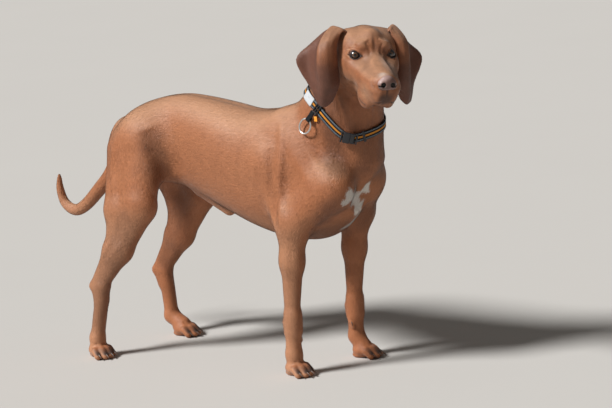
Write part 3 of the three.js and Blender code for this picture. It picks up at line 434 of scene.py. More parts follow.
def whole_body():
    body = Body()
    low, high = vec(-430, -110, 280) * MM, vec(260, 110, 620) * MM
    body.add(trunk_form(), low, high, 20, flow=unit(vec(-1, 0, -0.35)))
    body.cone((-196, 0, 384), (-124, 0, 340), 15, 12, 30, flow=vec(1, 0, 0))
    add_neck(body)
    add_forelegs(body)
    add_hindlegs(body)
    add_tail(body)
    add_head(body)
    return body


BODY = whole_body()


# ------------------------------------------------------------------ fine relief on the body

class Relief:
    """Soft ridges and furrows along lines: veins, tendons, ribs, folds."""

    def __init__(self):
        self.lines = []

    def line(self, points, width, height, bends=6):
        path = smooth_path(np.asarray(points, float), bends)
        self.lines.append((path, width * MM, height * MM))

    def height(self, points):
        result = np.zeros(len(points))
        for path, width, height in self.lines:
            reach = 2.6 * width
            low, high = path.min(0) - reach, path.max(0) + reach
            near = np.all((points > low) & (points < high), axis=-1)
            if not near.any():
                continue
            p = points[near]
            best = np.full(len(p), 1.0)
            share = np.zeros(len(p))
            for i in range(len(path) - 1):
                span = path[i + 1] - path[i]
                t = np.clip((p - path[i]) @ span / (span @ span + 1e-12), 0, 1)
                far = np.linalg.norm(p - path[i] - t[:, None] * span, axis=1)
                closer = far < best
                best = np.where(closer, far, best)
                share = np.where(closer, (i + t) / (len(path) - 1), share)
            fade = np.sin(np.clip(share, 0, 1) * math.pi) ** 0.5
            result[near] += height * fade * np.exp(-(best / width) ** 2)
        return result


# Painted shade on each side, on hollows, under the head and on parts turned from the lamp: a line, its reach
# and the share of dark.
PAINTED_SHADE_LINES = [
    ([(-262, 94, 515), (-256, 94, 480), (-250, 86, 430)], 46, 0.40),
    ([(-322, 112, 335), (-352, 124, 262), (-395, 126, 190), (-425, 130, 90)], 46, 0.38),
    ([(214, 70, 606), (224, 68, 545), (230, 66, 480)], 46, 0.50),
    ([(254, 62, 630), (259, 58, 588), (262, 52, 560)], 22, 0.55),
    ([(292, 29, 600), (291, 26, 578), (289, 22, 556)], 16, 0.50),
    ([(226, 78, 402), (208, 86, 365), (190, 74, 325)], 42, 0.42),
    ([(150, 44, 312), (196, 20, 326)], 46, 0.45),
    ([(276, 26, 560), (284, 20, 500), (274, 40, 450)], 44, 0.32),
    ([(104, 100, 230), (106, 100, 120)], 40, 0.12),
    ([(-300, 78, 380), (-345, 84, 290), (-395, 94, 190)], 46, 0.38),
]

# Painted shade on the face, in the head's frame: beside the bridge, under the eyes, between the cheek and the
# ear, on the forehead, on the muzzle's side and under the jaw.
PAINTED_FACE_SHADE = [
    ([(18, 15, 8), (26, 22, -7), (44, 27, -18)], 22, 0.42),
    ([(10, 45, -17), (28, 39, -20)], 16, 0.22),
    ([(-2, 58, -8), (2, 59, -28), (-8, 56, -52), (-34, 48, -74)], 16, 0.34),
    ([(-30, 26, 47), (-6, 24, 40)], 30, 0.22),
    ([(58, 24, -24), (98, 18, -28)], 15, 0.34),
    ([(-48, 44, -88), (-58, 46, -122)], 26, 0.30),
]


def mouth_line(s):
    """Where the lips part on one side, from the corner forward, in the head's frame."""
    return [(30, s * 39, -88), (42, s * 36.5, -94), (54, s * 33, -98), (66, s * 32, -98),
            (80, s * 28, -92), (95, s * 20, -88), (103, s * 9, -85), (104, 0, -84)]


def body_relief():
    relief = Relief()

    def on_body(points, width, height):
        relief.line(np.array(points, float) * MM, width, height)

    def on_head(points, width, height):
        relief.line(HEAD.points(points), width, height)

    for s in (RIGHT, LEFT):
        # Shoulder blade's ridge, the groove before it and the one behind the upper arm.
        on_body([(92, s * 60, 555), (130, s * 84, 500), (170, s * 92, 450), (200, s * 90, 420)], 13, 3.0)
        on_body([(150, s * 62, 540), (190, s * 72, 490), (226, s * 74, 440)], 12, -3.5)
        ahead = FORELEGS[s]["elbow"][0] - FORELEGS[RIGHT]["elbow"][0]
        on_body([(88, s * 64, 572), (96, s * 86, 530), (100, s * 96, 495), (98 + 0.4 * ahead, s * 101, 461),
                 (96 + 0.7 * ahead, s * 106, 422), (104 + ahead, s * 115, 380),
                 (108 + ahead, s * 124, 345)], 9, 4.2)
        on_body([(72, s * 94, 510), (77, s * 102, 462), (76 + 0.7 * ahead, s * 105, 422),
                 (84 + ahead, s * 112, 379), (90 + ahead, s * 121, 341)], 10, -4.8)
        on_body([(150 + ahead, s * 93, 312), (163 + ahead / 2, s * 72, 329), (196, s * 71, 353),
                 (222, s * 65, 370)], 14, -2.0)
        # Ribs, faint on the side.
        for i in range(7):
            x = 28 - i * 30
            on_body([(x + 16, s * 84, 520), (x, s * 100, 455), (x - 16, s * 94, 390), (x - 20, s * 78, 345)],
                    7, 1.0)
        # The fold of skin from the flank to the knee, and the hollow above it.
        on_body([(-182, s * 72, 412), (-226, s * 84, 410), (-262, s * 98, 392)], 11, 5.0)
        on_body([(-196, s * 72, 470), (-226, s * 78, 440), (-250, s * 88, 425)], 16, -4.5)
        # Thigh muscles.
        on_body([(-272, s * 91, 535), (-256, s * 90, 489), (-244, s * 78, 450), (-240, s * 64, 420)],
                22, -8.0)
        on_body([(-312, s * 105, 500), (-322, s * 108, 440), (-330, s * 112, 380)], 15, -3.0)
        on_body([(-352, s * 76, 520), (-376, s * 92, 483), (-379, s * 97, 437), (-365, s * 112, 394),
                 (-361, s * 130, 340)], 11, 3.2)
        leg = {k: np.asarray(v, float) for k, v in FORELEGS[s].items() if k != "toe_out"}
        e, w, k = leg["elbow"], leg["wrist"], leg["knuckle"]
        for side, width, height in ((s, 5, 1.2), (-s, 4, 1.2)):
            relief.line(np.array([spot(e, 8, side * 30, -30), spot((e + w) / 2, 4, side * 27, 20),
                                  spot(w, 4, side * 20, 34)]) * MM, width, height)
        relief.line(np.array([spot(e, -12, s * 26, -40), spot((e + w) / 2, -10, s * 22, 0),
                              spot(w, -10, s * 18, 20)]) * MM, 5, -1.6)
        relief.line(np.array([spot(w, 19, 0, -20), spot(k, 19, 0, 16)]) * MM, 4, 0.8)
        relief.line(np.array([spot(w, -8, s * 17, -26), spot(k, -8, s * 17, 10)]) * MM, 4, -1.4)
        hind = {k: np.asarray(v, float) for k, v in HINDLEGS[s].items() if k != "toe_out"}
        h, a, n = hind["knee"], hind["hock"], hind["knuckle"]
        m = (h + a) / 2
        relief.line(np.array([spot(h, -30, s * 34, -30), spot(m, -16, s * 24, 0),
                              spot(a, -6, s * 17, 44)]) * MM, 6, -2.4)
        relief.line(np.array([spot(h, 4, s * 30, -20), spot(m, 4, s * 25, 0),
                              spot(a, -2, s * 18, 60), spot(a, -12, s * 17, 30)]) * MM, 3.6, 1.4)
        relief.line(np.array([spot(a, -6, s * 16, -8), spot(n, -8, s * 16, 20)]) * MM, 4, -1.2)
        relief.line(np.array([spot(a, 18, 0, -8), spot(n, 18, 0, 12)]) * MM, 4, 0.8)
        # Toes part on top of the foot.
        foot = Place(leg["paw"] * MM, turned(FORELEGS[s]["toe_out"]))
        back = Place(hind["paw"] * MM, turned(HINDLEGS[s]["toe_out"]))
        for paw in (foot, back):
            for y in (-13, 0, 13):
                relief.line(paw.points([(4, y, 36), (22, y * 1.02, 30), (38, y * 1.05, 14)]), 2.4, -2.2)
        # Face: the lids' folds, the knot of the brow, the tear groove, muzzle and lips.
        on_head([(-16, s * 50, 10), (-2, s * 45, 14), (8, s * 36, 12), (14, s * 28, 6)], 2.4, -1.8)
        on_head([(-14, s * 50, -10), (-1, s * 46, -14), (10, s * 38, -13), (14, s * 28, -7)], 2.6, -1.4)
        on_head([(10, s * 20, 27), (15, s * 14, 18), (18, s * 12, 8), (21, s * 15, 0)], 3.0, -2.2)
        on_head([(0, s * 38, 22), (6, s * 30, 27), (8, s * 21, 31), (4, s * 12, 36)], 3.4, 2.4)
        on_head([(14, s * 27, -3), (22, s * 21, -12), (34, s * 19, -22), (50, s * 20, -31)], 6.5, -1.3)
        on_head([(30, s * 12, -2), (60, s * 15, -14), (88, s * 16, -25)], 5, 1.3)
        on_head([(8, s * 50, -20), (30, s * 37, -26), (56, s * 30, -38)], 9, 1.8)
        on_head([(-30, s * 58, -40), (-12, s * 52, -60), (0, s * 42, -80)], 7, -2.4)
        on_head([(-50, s * 46, -70), (-28, s * 44, -84), (-6, s * 34, -94)], 6, 2.0)
        on_head([(106, s * 22, -62), (84, s * 33, -58), (62, s * 38, -62)], 8, 1.6)
        on_head([(112, s * 14, -58), (106, s * 24, -56), (94, s * 27, -46), (88, s * 22, -34)], 4, -1.6)
        on_head(mouth_line(s), 2.6, -2.6)
        on_head([(8, s * 41, -92), (30, s * 41, -108), (60, s * 36, -104), (92, s * 25, -97)], 3.2, 1.8)
    # The parting of the lips below the nose, the lips' meeting and the furrow of the brow.
    on_head([(112, 0, -54), (111, 0, -66), (108, 0, -80), (102, 0, -94)], 2.6, -2.6)
    on_head([(-40, 0, 54), (-16, 0, 44), (4, 0, 28), (14, 0, 16), (20, 0, 4)], 5, -2.0)
    # Loose skin under the throat and over the neck.
    for s, depth in ((RIGHT, 1.0), (LEFT, 0.8)):
        on_body([(238, s * 62, 628), (245, s * 62, 589), (250, s * 58, 552)], 7, -4.0 * depth)
        on_body([(260, s * 60, 625), (265, s * 56, 590), (266, s * 50, 545)], 7, 3.2 * depth)
        on_body([(278, s * 52, 630), (281, s * 46, 596), (276, s * 44, 560), (266, s * 48, 520)],
                7, -4.5 * depth)
    on_body([(300, -34, 640), (300, -26, 596), (290, -22, 545)], 8, 3.5)
    on_body([(262, -76, 640), (236, -76, 590), (210, -80, 540)], 10, -2.4)
    on_body([(296, 20, 640), (296, 26, 590), (276, 36, 540), (250, 50, 490)], 10, 2.2)
    on_body([(272, -8, 560), (278, -4, 510), (270, 0, 450), (240, 0, 400)], 14, 3.0)
    # The spine between its muscles.
    on_body([(40, 0, 590), (-40, 0, 582), (-160, 0, 598), (-260, 0, 600), (-330, 0, 580)], 9, -1.6)
    return relief


RELIEF = body_relief()


def blend_step(low, high, value):
    t = np.clip((value - low) / (high - low), 0, 1)
    return t * t * (3 - 2 * t)


def coat_depth(points, settings):
    """How deep the skin lies under the tips of the coat: least on the face and feet."""
    x = HEAD.local(points)[:, 0]
    face = blend_step(-110, -30, x) * blend_step(560 * MM, 600 * MM, points[:, 2])
    low = 1 - blend_step(60 * MM, 300 * MM, points[:, 2])
    thin = np.maximum(face, low * 0.8)
    return settings.coat_depth * (1 - 0.55 * thin)


class EyeFrame:
    """One eye: its middle, and the directions out through the lids, up and along them."""

    def __init__(self, side, lateral=14.0, up=4.0):
        self.middle = HEAD.point(EYE_AT[0], side * EYE_AT[1], EYE_AT[2])
        a, b = math.radians(lateral), math.radians(up)
        level = math.cos(b)
        self.out = HEAD.direction(math.cos(a) * level, side * math.sin(a) * level, math.sin(b))
        upward = HEAD.axes[:, 2] - (HEAD.axes[:, 2] @ self.out) * self.out
        self.up = unit(upward)
        self.along = np.cross(self.up, self.out) * side

    def local(self, points):
        q = (points - self.middle) / MM
        return q @ self.along, q @ self.up, q @ self.out

    def opening(self, u, v):
        """Distance outward from the almond between the lids, the overlap of two discs."""
        half, tall = EYE_OPENING[0] / 2, EYE_OPENING[1] / 2
        v = v - 0.02 * u + 0.3
        radius = (half**2 + tall**2) / (2 * tall)
        drop = radius - tall
        return np.maximum(np.hypot(u, v + drop), np.hypot(u, v - drop)) - radius


def lid_field(distance, points, settings):
    """Melts a lid over each eyeball and opens it to the almond of the eye."""
    for side in (RIGHT, LEFT):
        eye = EyeFrame(side)
        near = np.linalg.norm(points - eye.middle, axis=1) < 40 * MM
        if not near.any():
            continue
        p = points[near]
        ball = np.linalg.norm(p - eye.middle, axis=1)
        lid = ball - (EYE_RADIUS * MM + settings.lid_thickness)
        d = smooth_min(distance[near], lid, 7 * MM)
        u, v, w = eye.local(p)
        hole = np.maximum(eye.opening(u, v), 2 - w) * MM
        distance[near] = -smooth_min(-d, hole, 1.4 * MM)
    return distance


def skin_distance(points, settings):
    d = lid_field(BODY.distance(points), points, settings)
    d = d + coat_depth(points, settings) - RELIEF.height(points)
    return np.maximum(d, -points[:, 2])


# ------------------------------------------------------------------ from field to mesh

def surface_net(low, step, values):
    """Quads round the zero level of a grid of distances."""
    count = np.array(values.shape)
    inside = values < 0
    hits = np.zeros(count - 1, int)
    total = np.zeros(tuple(count - 1) + (3,))
    for axis in range(3):
        others = [i for i in range(3) if i != axis]
        for da in (0, 1):
            for db in (0, 1):
                first = [slice(0, n - 1) for n in count]
                first[others[0]] = slice(da, count[others[0]] - 1 + da)
                first[others[1]] = slice(db, count[others[1]] - 1 + db)
                second = list(first)
                second[axis] = slice(1, count[axis])
                a, b = values[tuple(first)], values[tuple(second)]
                crossed = (a < 0) != (b < 0)
                t = np.where(crossed, a / np.where(crossed, a - b, 1), 0)
                hits += crossed
                total[..., others[0]] += da * crossed
                total[..., others[1]] += db * crossed
                total[..., axis] += t * crossed
    active = hits > 0
    index = -np.ones(count - 1, int)
    index[active] = np.arange(active.sum())
    corners = np.argwhere(active).astype(float)
    points = (corners + total[active] / hits[active][:, None]) * step + low
    quads = []
    for axis in range(3):
        others = [i for i in range(3) if i != axis]
        first = [slice(1, n - 1) for n in count]
        first[axis] = slice(0, count[axis] - 1)
        second = list(first)
        second[axis] = slice(1, count[axis])
        a, b = inside[tuple(first)], inside[tuple(second)]
        cells = np.argwhere(a != b)
        flips = a[a != b]
        start = np.ones(3, int)
        start[axis] = 0
        cells = cells + start
        e0, e1 = np.zeros(3, int), np.zeros(3, int)
        e0[others[0]] = 1
        e1[others[1]] = 1
        ring = [cells - e0 - e1, cells - e1, cells, cells - e0]
        quad = np.stack([index[tuple(c.T)] for c in ring], 1)
        if axis != 1:
            flips = ~flips
        quad[~flips] = quad[~flips][:, ::-1]
        quads.append(quad)
    return points, np.concatenate(quads)


def refine(points, quads, others, chosen):
    """Splits the chosen quads in four. Neighbours take the new points on shared edges."""
    a, b = quads, np.roll(quads, -1, axis=1)
    keys = np.minimum(a, b) * len(points) + np.maximum(a, b)
    split = np.unique(keys[chosen])
    first, second = split // len(points), split % len(points)
    middles = (points[first] + points[second]) / 2
    middle_of = len(points) + np.searchsorted(split, keys[chosen])
    centres = points[quads[chosen]].mean(1)
    centre_id = len(points) + len(split) + np.arange(len(centres))
    corner = quads[chosen]
    parts = [np.stack([corner[:, i], middle_of[:, i], centre_id, middle_of[:, i - 1]], 1) for i in range(4)]
    fresh = np.concatenate(parts)
    place = np.searchsorted(split, keys)
    place = np.minimum(place, len(split) - 1)
    touched = (split[place] == keys) & ~chosen[:, None]
    uneven = touched.any(1)
    for face, ids, hit in zip(quads[uneven], place[uneven], touched[uneven]):
        ring = []
        for i in range(4):
            ring.append(int(face[i]))
            if hit[i]:
                ring.append(int(len(points) + ids[i]))
        others.append(ring)
    keep = ~chosen & ~uneven
    return np.vstack([points, middles, centres]), np.concatenate([quads[keep], fresh]), others


def slope_of(function, points, values=None, step=4e-4):
    values = function(points) if values is None else values
    slope = np.empty_like(points)
    for i in range(3):
        moved = points.copy()
        moved[:, i] += step
        slope[:, i] = (function(moved) - values) / step
    return values, slope


def settle(function, points, steps=2, most=0.004):
    """Moves points along the slope onto the surface of a field."""
    for _ in range(steps):
        values, slope = slope_of(function, points)
        move = slope * (values / ((slope * slope).sum(1) + 1e-6))[:, None]
        length = np.linalg.norm(move, axis=1)
        points = points - move * np.minimum(1, most / (length + 1e-12))[:, None]
    return points


def neighbour_mean(points, quads, others):
    pairs = [np.stack([quads[:, i], quads[:, (i + 1) % 4]], 1) for i in range(4)]
    loose = [(ring[i], ring[(i + 1) % len(ring)]) for ring in others for i in range(len(ring))]
    if loose:
        pairs.append(np.array(loose))
    pairs = np.concatenate(pairs)
    a = np.concatenate([pairs[:, 0], pairs[:, 1]])
    b = np.concatenate([pairs[:, 1], pairs[:, 0]])
    count = np.bincount(a, minlength=len(points))

    def mean(values):
        total = [np.bincount(a, weights=values[b, i], minlength=len(points)) for i in range(3)]
        return np.stack(total, 1) / np.maximum(count, 1)[:, None]
    return mean


def relax(points, mean, normals, share=0.5):
    """Evens the spacing along the surface without moving off it."""
    move = mean(points) - points
    move -= (move * normals).sum(1, keepdims=True) * normals
    return points + share * move


# ------------------------------------------------------------------ the ears' leather

def ear_sheet(side, rows, columns):
    """The middle of one ear: rows from root to tip, columns from front to rear edge."""
    steps = (rows - 1) // (len(EAR_FOLDS[0]) - 1)
    folds = [smooth_path(np.array(fold, float), steps) for fold in EAR_FOLDS]
    share = np.linspace(0, 1, columns)
    grid = []
    for row in range(rows):
        across = smooth_path(np.array([fold[row] for fold in folds]), (columns - 1) // (len(folds) - 1))
        t = row / (rows - 1)
        if side == LEFT:
            tuck = np.exp(-((share - 0.55) / 0.6) ** 2) * math.exp(-((t - 0.56) / 0.33) ** 2)
            front = np.exp(-(share / 0.35) ** 2) * math.exp(-((t - 0.34) / 0.16) ** 2)
            across[:, 1] -= EAR_LEFT_TUCK * tuck
            across[:, 1] -= EAR_LEFT_FRONT_TUCK * front
        across[:, 1] *= side
        grid.append(across)
    return HEAD.points(np.array(grid).reshape(-1, 3)).reshape(rows, columns, 3)


def ear_shell(side, settings, rows=66, columns=49):
    """A closed leather sheet, thick at the root and thin at its rim, with its hair flow."""
    grid = ear_sheet(side, rows, columns)
    down = np.gradient(grid, axis=0)
    along = np.gradient(grid, axis=1)
    normal = unit(np.cross(along, down)) * side
    t = np.linspace(0, 1, rows)[:, None]
    s = np.linspace(0, 1, columns)[None, :]
    rim = np.minimum(np.minimum(s, 1 - s) * 5.5, (1 - t) * 5.0)
    rim = np.sqrt(1 - (1 - np.clip(rim, 0, 1)) ** 2)
    half = settings.ear_thickness / 2 * (0.22 + 0.78 * rim) * (1 + 0.7 * (1 - t) ** 3)
    waves = 0.9 * np.sin(t * 9 + s * 3) * s * (1 - s) * 4 * t + 0.5 * np.sin(s * 15 + t * 5) * t * t
    fold = np.sin(np.clip(t * 1.25, 0, 1) * math.pi)
    waves += fold * (3.2 * np.exp(-((s - 0.64) / 0.08) ** 2) + 1.2 * np.exp(-((s - 0.24) / 0.06) ** 2)
                     - 2.4 * np.exp(-((s - 0.50) / 0.07) ** 2))
    grid = grid + normal * (waves * MM)[..., None]
    inside = grid + normal * half[..., None]
    outside = grid - normal * half[..., None]
    points = np.concatenate([inside.reshape(-1, 3), outside.reshape(-1, 3)])
    flow = np.concatenate([unit(down).reshape(-1, 3)] * 2)
    n = np.arange(rows * columns).reshape(rows, columns)
    a, b, c, d = n[:-1, :-1], n[1:, :-1], n[1:, 1:], n[:-1, 1:]
    size = rows * columns
    outer = np.stack([a, d, c, b], -1).reshape(-1, 4)
    inner = np.stack([a, b, c, d], -1).reshape(-1, 4) + size
    ring = np.concatenate([n[0, :-1], n[:-1, -1], n[-1, :0:-1], n[:0:-1, 0]])
    after = np.roll(ring, -1)
    edge = np.stack([ring, ring + size, after + size, after], 1)
    quads = np.concatenate([outer, inner, edge])
    if side == LEFT:
        quads = quads[:, ::-1]
    # The flap behind the ridge and the lobe are deeper in colour than the strip before it; on the flap this
    # is partly painted shade, where it tucks under.
    flap_tone_and_shade = np.maximum(np.maximum(0.3, 0.8 * blend_step(0.50, 0.60, s)), 0.85 * blend_step(0.40, 0.75, t))
    out = np.concatenate([np.full(size, 0.5), np.broadcast_to(flap_tone_and_shade, (rows, columns)).ravel()])
    return points, quads, flow, out


# ------------------------------------------------------------------ markings

def lumps(points, scale, seed):
    """A smooth random value from -1 to 1 that varies over about one scale."""
    rng = np.random.default_rng(seed)
    total = np.zeros(len(points))
    for _ in range(10):
        way = unit(rng.normal(size=3)) * 2 * math.pi / (scale * rng.uniform(0.7, 1.5))
        total += np.sin(points @ way + rng.uniform(0, 6.3))
    return total / 4.5


def near_line(points, path, reach):
    """One on a line of points, fading to nothing at its reach."""
    path = np.asarray(path, float) * MM
    best = np.full(len(points), 1.0)
    for i in range(len(path) - 1):
        span = path[i + 1] - path[i]
        t = np.clip((points - path[i]) @ span / (span @ span), 0, 1)
        best = np.minimum(best, np.linalg.norm(points - path[i] - t[:, None] * span, axis=1))
    return 1 - best / (reach * MM)


BLAZE = [
    ([(249, -78, 402), (256, -66, 410)], 9),
    ([(256, -64, 411), (252, -46, 411), (240, -22, 403)], 17),
    ([(240, -22, 403), (234, -6, 393), (231, -3, 384)], 19),
    ([(231, -5, 384), (230, -3, 368)], 12),
    ([(236, 2, 400), (243, 17, 408), (251, 14, 424)], 10),
    ([(243, 17, 402), (231, 12, 376), (218, 10, 354), (203, 8, 333), (199, -10, 328)], 7.5),
]


def whisker_roots(s):
    """Root, direction and length of each whisker on one side, in the head's frame."""
    roots = []
    for row, z in enumerate((-56, -64, -73)):
        for i in range(5):
            roots.append(((100 - i * 9 - row * 2, s * (24 + i * 2.2), z - i * 1.2),
                          (0.2 - 0.12 * i, s, -0.5), 15))
    return roots


def markings(points, normals):
    """White, dark and pale shares of the coat, where the dark also holds painted shade and the pale painted
    light, and the bare share, each from 0 to 1, at some points.
    """
    warp = points + 4 * MM * np.stack([lumps(points, 0.03, s) for s in (1, 2, 3)], 1)
    white = np.zeros(len(points))
    chest = points[:, 0] > 0.17
    for path, reach in BLAZE:
        white[chest] = np.maximum(white[chest], near_line(warp[chest], path, reach))
    white = blend_step(0.0, 0.28, white)

    head = HEAD.local(points)
    warp_head = HEAD.local(warp)
    x, y, z = head.T
    wx, wy, wz = warp_head.T
    ahead = blend_step(520 * MM, 600 * MM, points[:, 2])
    # A white patch over the nose's top: pale skin, brightened as a painted reflection of the sky.
    nose_patch = 1 - np.sqrt(((wx - 97) / 14) ** 2 + ((wy + 5) / 17) ** 2 + ((wz + 28) / 11) ** 2)
    white = np.maximum(white, 0.62 * blend_step(0.0, 0.8, nose_patch) * ahead)
    bridge = np.exp(-((y - 9) / 6) ** 2 - ((x - 58) / 26) ** 2) * blend_step(-24, -12, z) * ahead
    white = np.maximum(white, 0.22 * bridge)
    spots = np.zeros(len(points))
    muzzle = (x > 50) & (z < -40)
    for s in (RIGHT, LEFT):
        for at, _, _ in whisker_roots(s):
            gap = np.linalg.norm(head[muzzle] - vec(*at), axis=1)
            spots[muzzle] = np.maximum(spots[muzzle], blend_step(3.0, 1.2, gap))

    dark = np.zeros(len(points))
    # A dark patch on the muzzle's front below the nose: darker lips, deepened with painted shade under the
    # nose.
    front = np.sqrt(((wy + 1) / 25) ** 2 + ((wz + 76) / 21) ** 2)
    front = blend_step(1.05, 0.3, front) * blend_step(78, 92, x) * ahead
    dark = np.maximum(dark, 0.82 * front)
    for s in (RIGHT, LEFT):
        # Dark along the mouth line: the lips' dark edges, with painted shade in the parting between them.
        corner = near_line(points, HEAD.points(mouth_line(s)) / MM, 5.5)
        dark = np.maximum(dark, 0.9 * blend_step(0.1, 0.8, corner))
        # Painted shade round the nostrils, where they open into the nose.
        hole = np.linalg.norm(head - vec(NOSTRIL[0] - 3, s * NOSTRIL[1], NOSTRIL[2]), axis=1)
        dark = np.maximum(dark, blend_step(12, 9, hole))
    # Painted shade in the groove below the nose where the upper lips part.
    parting = np.exp(-(y / 3.0) ** 2) * blend_step(96, 104, x) * blend_step(-52, -58, z) * ahead
    dark = np.maximum(dark, 0.9 * parting)
    # Painted shade in the furrow of the brow.
    furrow = np.exp(-((wy + 1) / 5.5) ** 2 - ((z - 27) / 22) ** 2) * blend_step(-26, -8, x) * ahead
    dark = np.maximum(dark, 0.60 * furrow)
    for s in (RIGHT, LEFT):
        eye = EyeFrame(s)
        u, v, w = eye.local(points)
        near = (w > -4) & (w < 26)
        dark = np.maximum(dark, (1 - blend_step(2.6, 4.4, eye.opening(u, v))) * near)
        # Painted shade in the crease round each knot of the brow.
        knot = np.exp(-((np.sqrt((x - 6) ** 2 / 4 + (y - s * 24) ** 2 + (z - 15) ** 2) - 11) / 2.4) ** 2)
        dark = np.maximum(dark, 0.42 * knot * blend_step(22, 14, np.abs(y)) * (x > 0) * ahead)
        # Painted shade in the tear groove below the eye's inner corner.
        tear = np.sqrt(((x - 24) / 15) ** 2 + ((y - s * 19) / 7) ** 2 + ((z + 8) / 11) ** 2)
        dark = np.maximum(dark, 0.22 * blend_step(1.0, 0.2, tear) * ahead)
        inner = np.sqrt(((u + 13.5) / 4) ** 2 + ((v + 1.2) / 3.0) ** 2)
        dark = np.maximum(dark, 0.9 * (1 - blend_step(0.6, 1.2, inner)) * near)
    dark = np.maximum(dark, 0.5 * spots)
    face = ahead * blend_step(-70, -40, x)
    mottle = 0.19 + 0.09 * lumps(points, 0.016, 9) + 0.05 * lumps(points, 0.006, 10)
    dark = np.maximum(dark, face * mottle)

    # The bare pads under the feet.
    low = points[:, 2]
    bare = blend_step(-0.3, -0.8, normals[:, 2]) * blend_step(0.030, 0.012, low)
    dark = np.maximum(dark, 0.85 * bare)

    # Painted light: the flanks' sideways faces made paler.
    side_light = blend_step(0.2, 0.9, np.abs(normals[:, 1])) * blend_step(-0.40, -0.1, points[:, 0])
    # The belly is paler, partly its own colour and partly painted light from the floor below.
    belly = blend_step(-0.2, -0.9, normals[:, 2]) * blend_step(0.26, 0.34, low)
    pale = 0.85 * belly + 0.12 * side_light * blend_step(0.2, 0.0, points[:, 0])
    inner_leg = blend_step(0.40, 0.30, low) * blend_step(0.3, 0.9, -normals[:, 1] * np.sign(points[:, 1]))
    pale = np.maximum(pale, 0.5 * inner_leg)
    # The cheeks, the lips' sides and the brows are paler, partly their own colour and partly painted light
    # where the lamp falls on them.
    cheek = np.exp(-((x - 4) / 24) ** 2 - ((z + 62) / 24) ** 2)
    lip_side = np.exp(-((x - 68) / 26) ** 2 - ((z + 68) / 20) ** 2)
    brow = np.exp(-((x - 8) / 10) ** 2 - ((np.abs(y) - 24) / 9) ** 2 - ((z - 27) / 8) ** 2)
    pale = np.maximum(pale, np.maximum(np.maximum(0.7 * cheek, 0.7 * brow), 0.75 * lip_side) * ahead)
    # The back's upward faces are darker: partly a darker backline, partly painted shade that tones down the
    # light falling on top.
    back = blend_step(0.25, 0.85, normals[:, 2]) * blend_step(0.45, 0.52, low) * (1 - ahead)
    dark = np.maximum(dark, 0.58 * back)
    for s in (RIGHT, LEFT):
        # Painted shade along the lines on the body, on both sides.
        for path, reach, share in PAINTED_SHADE_LINES:
            line = near_line(warp, np.array(path) * (1, s, 1), reach)
            dark = np.maximum(dark, share * blend_step(0.0, 0.8, line) * (1 - face))
        # Painted shade along the lines on the face, on both sides.
        for path, reach, share in PAINTED_FACE_SHADE:
            line = near_line(warp, HEAD.points(np.array(path) * (1, s, 1)) / MM, reach)
            dark = np.maximum(dark, share * blend_step(0.0, 0.8, line))
    return dict(white=white, dark=dark, pale=np.clip(pale, 0, 1), bare=bare)


# ------------------------------------------------------------------ meshes

def new_piece(name, mesh, material, replaced=()):
    """Links a finished mesh as a piece that rides on the one body."""
    piece = bpy.data.objects.new(name, mesh)
    bpy.context.scene.collection.objects.link(piece)
    if material is not None and not mesh.materials:
        mesh.materials.append(material)
    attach(piece, "root")
    if replaced:
        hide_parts(*replaced)
    return piece


def shade_smooth(mesh):
    mesh.polygons.foreach_set("use_smooth", np.ones(len(mesh.polygons), bool))


def face_mesh(name, points, faces):
    mesh = bpy.data.meshes.new(name)
    mesh.from_pydata((np.asarray(points) + ORIGIN).tolist(), [], [list(f) for f in faces])
    mesh.validate()
    shade_smooth(mesh)
    mesh.update()
    return mesh


def triangle_mesh(name, points, triangles):
    """A mesh from plain arrays, for pieces with very many faces."""
    mesh = bpy.data.meshes.new(name)
    mesh.vertices.add(len(points))
    mesh.vertices.foreach_set("co", (points + ORIGIN).astype(np.float32).ravel())
    mesh.loops.add(triangles.size)
    mesh.loops.foreach_set("vertex_index", triangles.astype(np.int32).ravel())
    mesh.polygons.add(len(triangles))
    mesh.polygons.foreach_set("loop_start", np.arange(0, triangles.size, 3, dtype=np.int32))
    mesh.polygons.foreach_set("use_smooth", np.ones(len(triangles), bool))
    mesh.update(calc_edges=True)
    return mesh


def add_values(mesh, name, values):
    layer = mesh.attributes.new(name, "FLOAT", "POINT")
    layer.data.foreach_set("value", np.asarray(values, np.float32))


def skin_arrays(settings):
    """Points and faces of the skin: finest round the eyes, fine on the head and feet."""
    step = settings.skin_step
    low, high = vec(-660, -190, -14) * MM, vec(500, 180, 800) * MM
    values = BODY.on_grid(low, high, step)
    shape = values.shape
    zs = low[2] + step * np.arange(shape[2])
    values = np.maximum(values + 0.6 * settings.coat_depth, (0.4 * step - zs)[None, None, :])
    points, quads = surface_net(low, step, values)
    others = []

    def field(p):
        return skin_distance(p, settings)

    centres = points[quads].mean(1)
    head = HEAD.local(centres)
    on_head = (head[:, 0] > -100) & (centres[:, 2] > 0.59) & (centres[:, 0] > 0.22)
    on_foot = centres[:, 2] < 0.062
    points, quads, others = refine(points, quads, others, on_head | on_foot)
    points = settle(field, points, 2)
    centres = points[quads].mean(1)
    by_eye = np.zeros(len(centres), bool)
    for s in (RIGHT, LEFT):
        by_eye |= np.linalg.norm(centres - EyeFrame(s).middle, axis=1) < 23 * MM
    points, quads, others = refine(points, quads, others, by_eye)
    mean = neighbour_mean(points, quads, others)
    for _ in range(3):
        points = settle(field, points, 1, 0.003)
        normals = unit(slope_of(field, points)[1])
        points = relax(points, mean, normals)
    points = settle(field, points, 2, 0.003)
    points[:, 2] = np.maximum(points[:, 2], 0)
    return points, quads, others


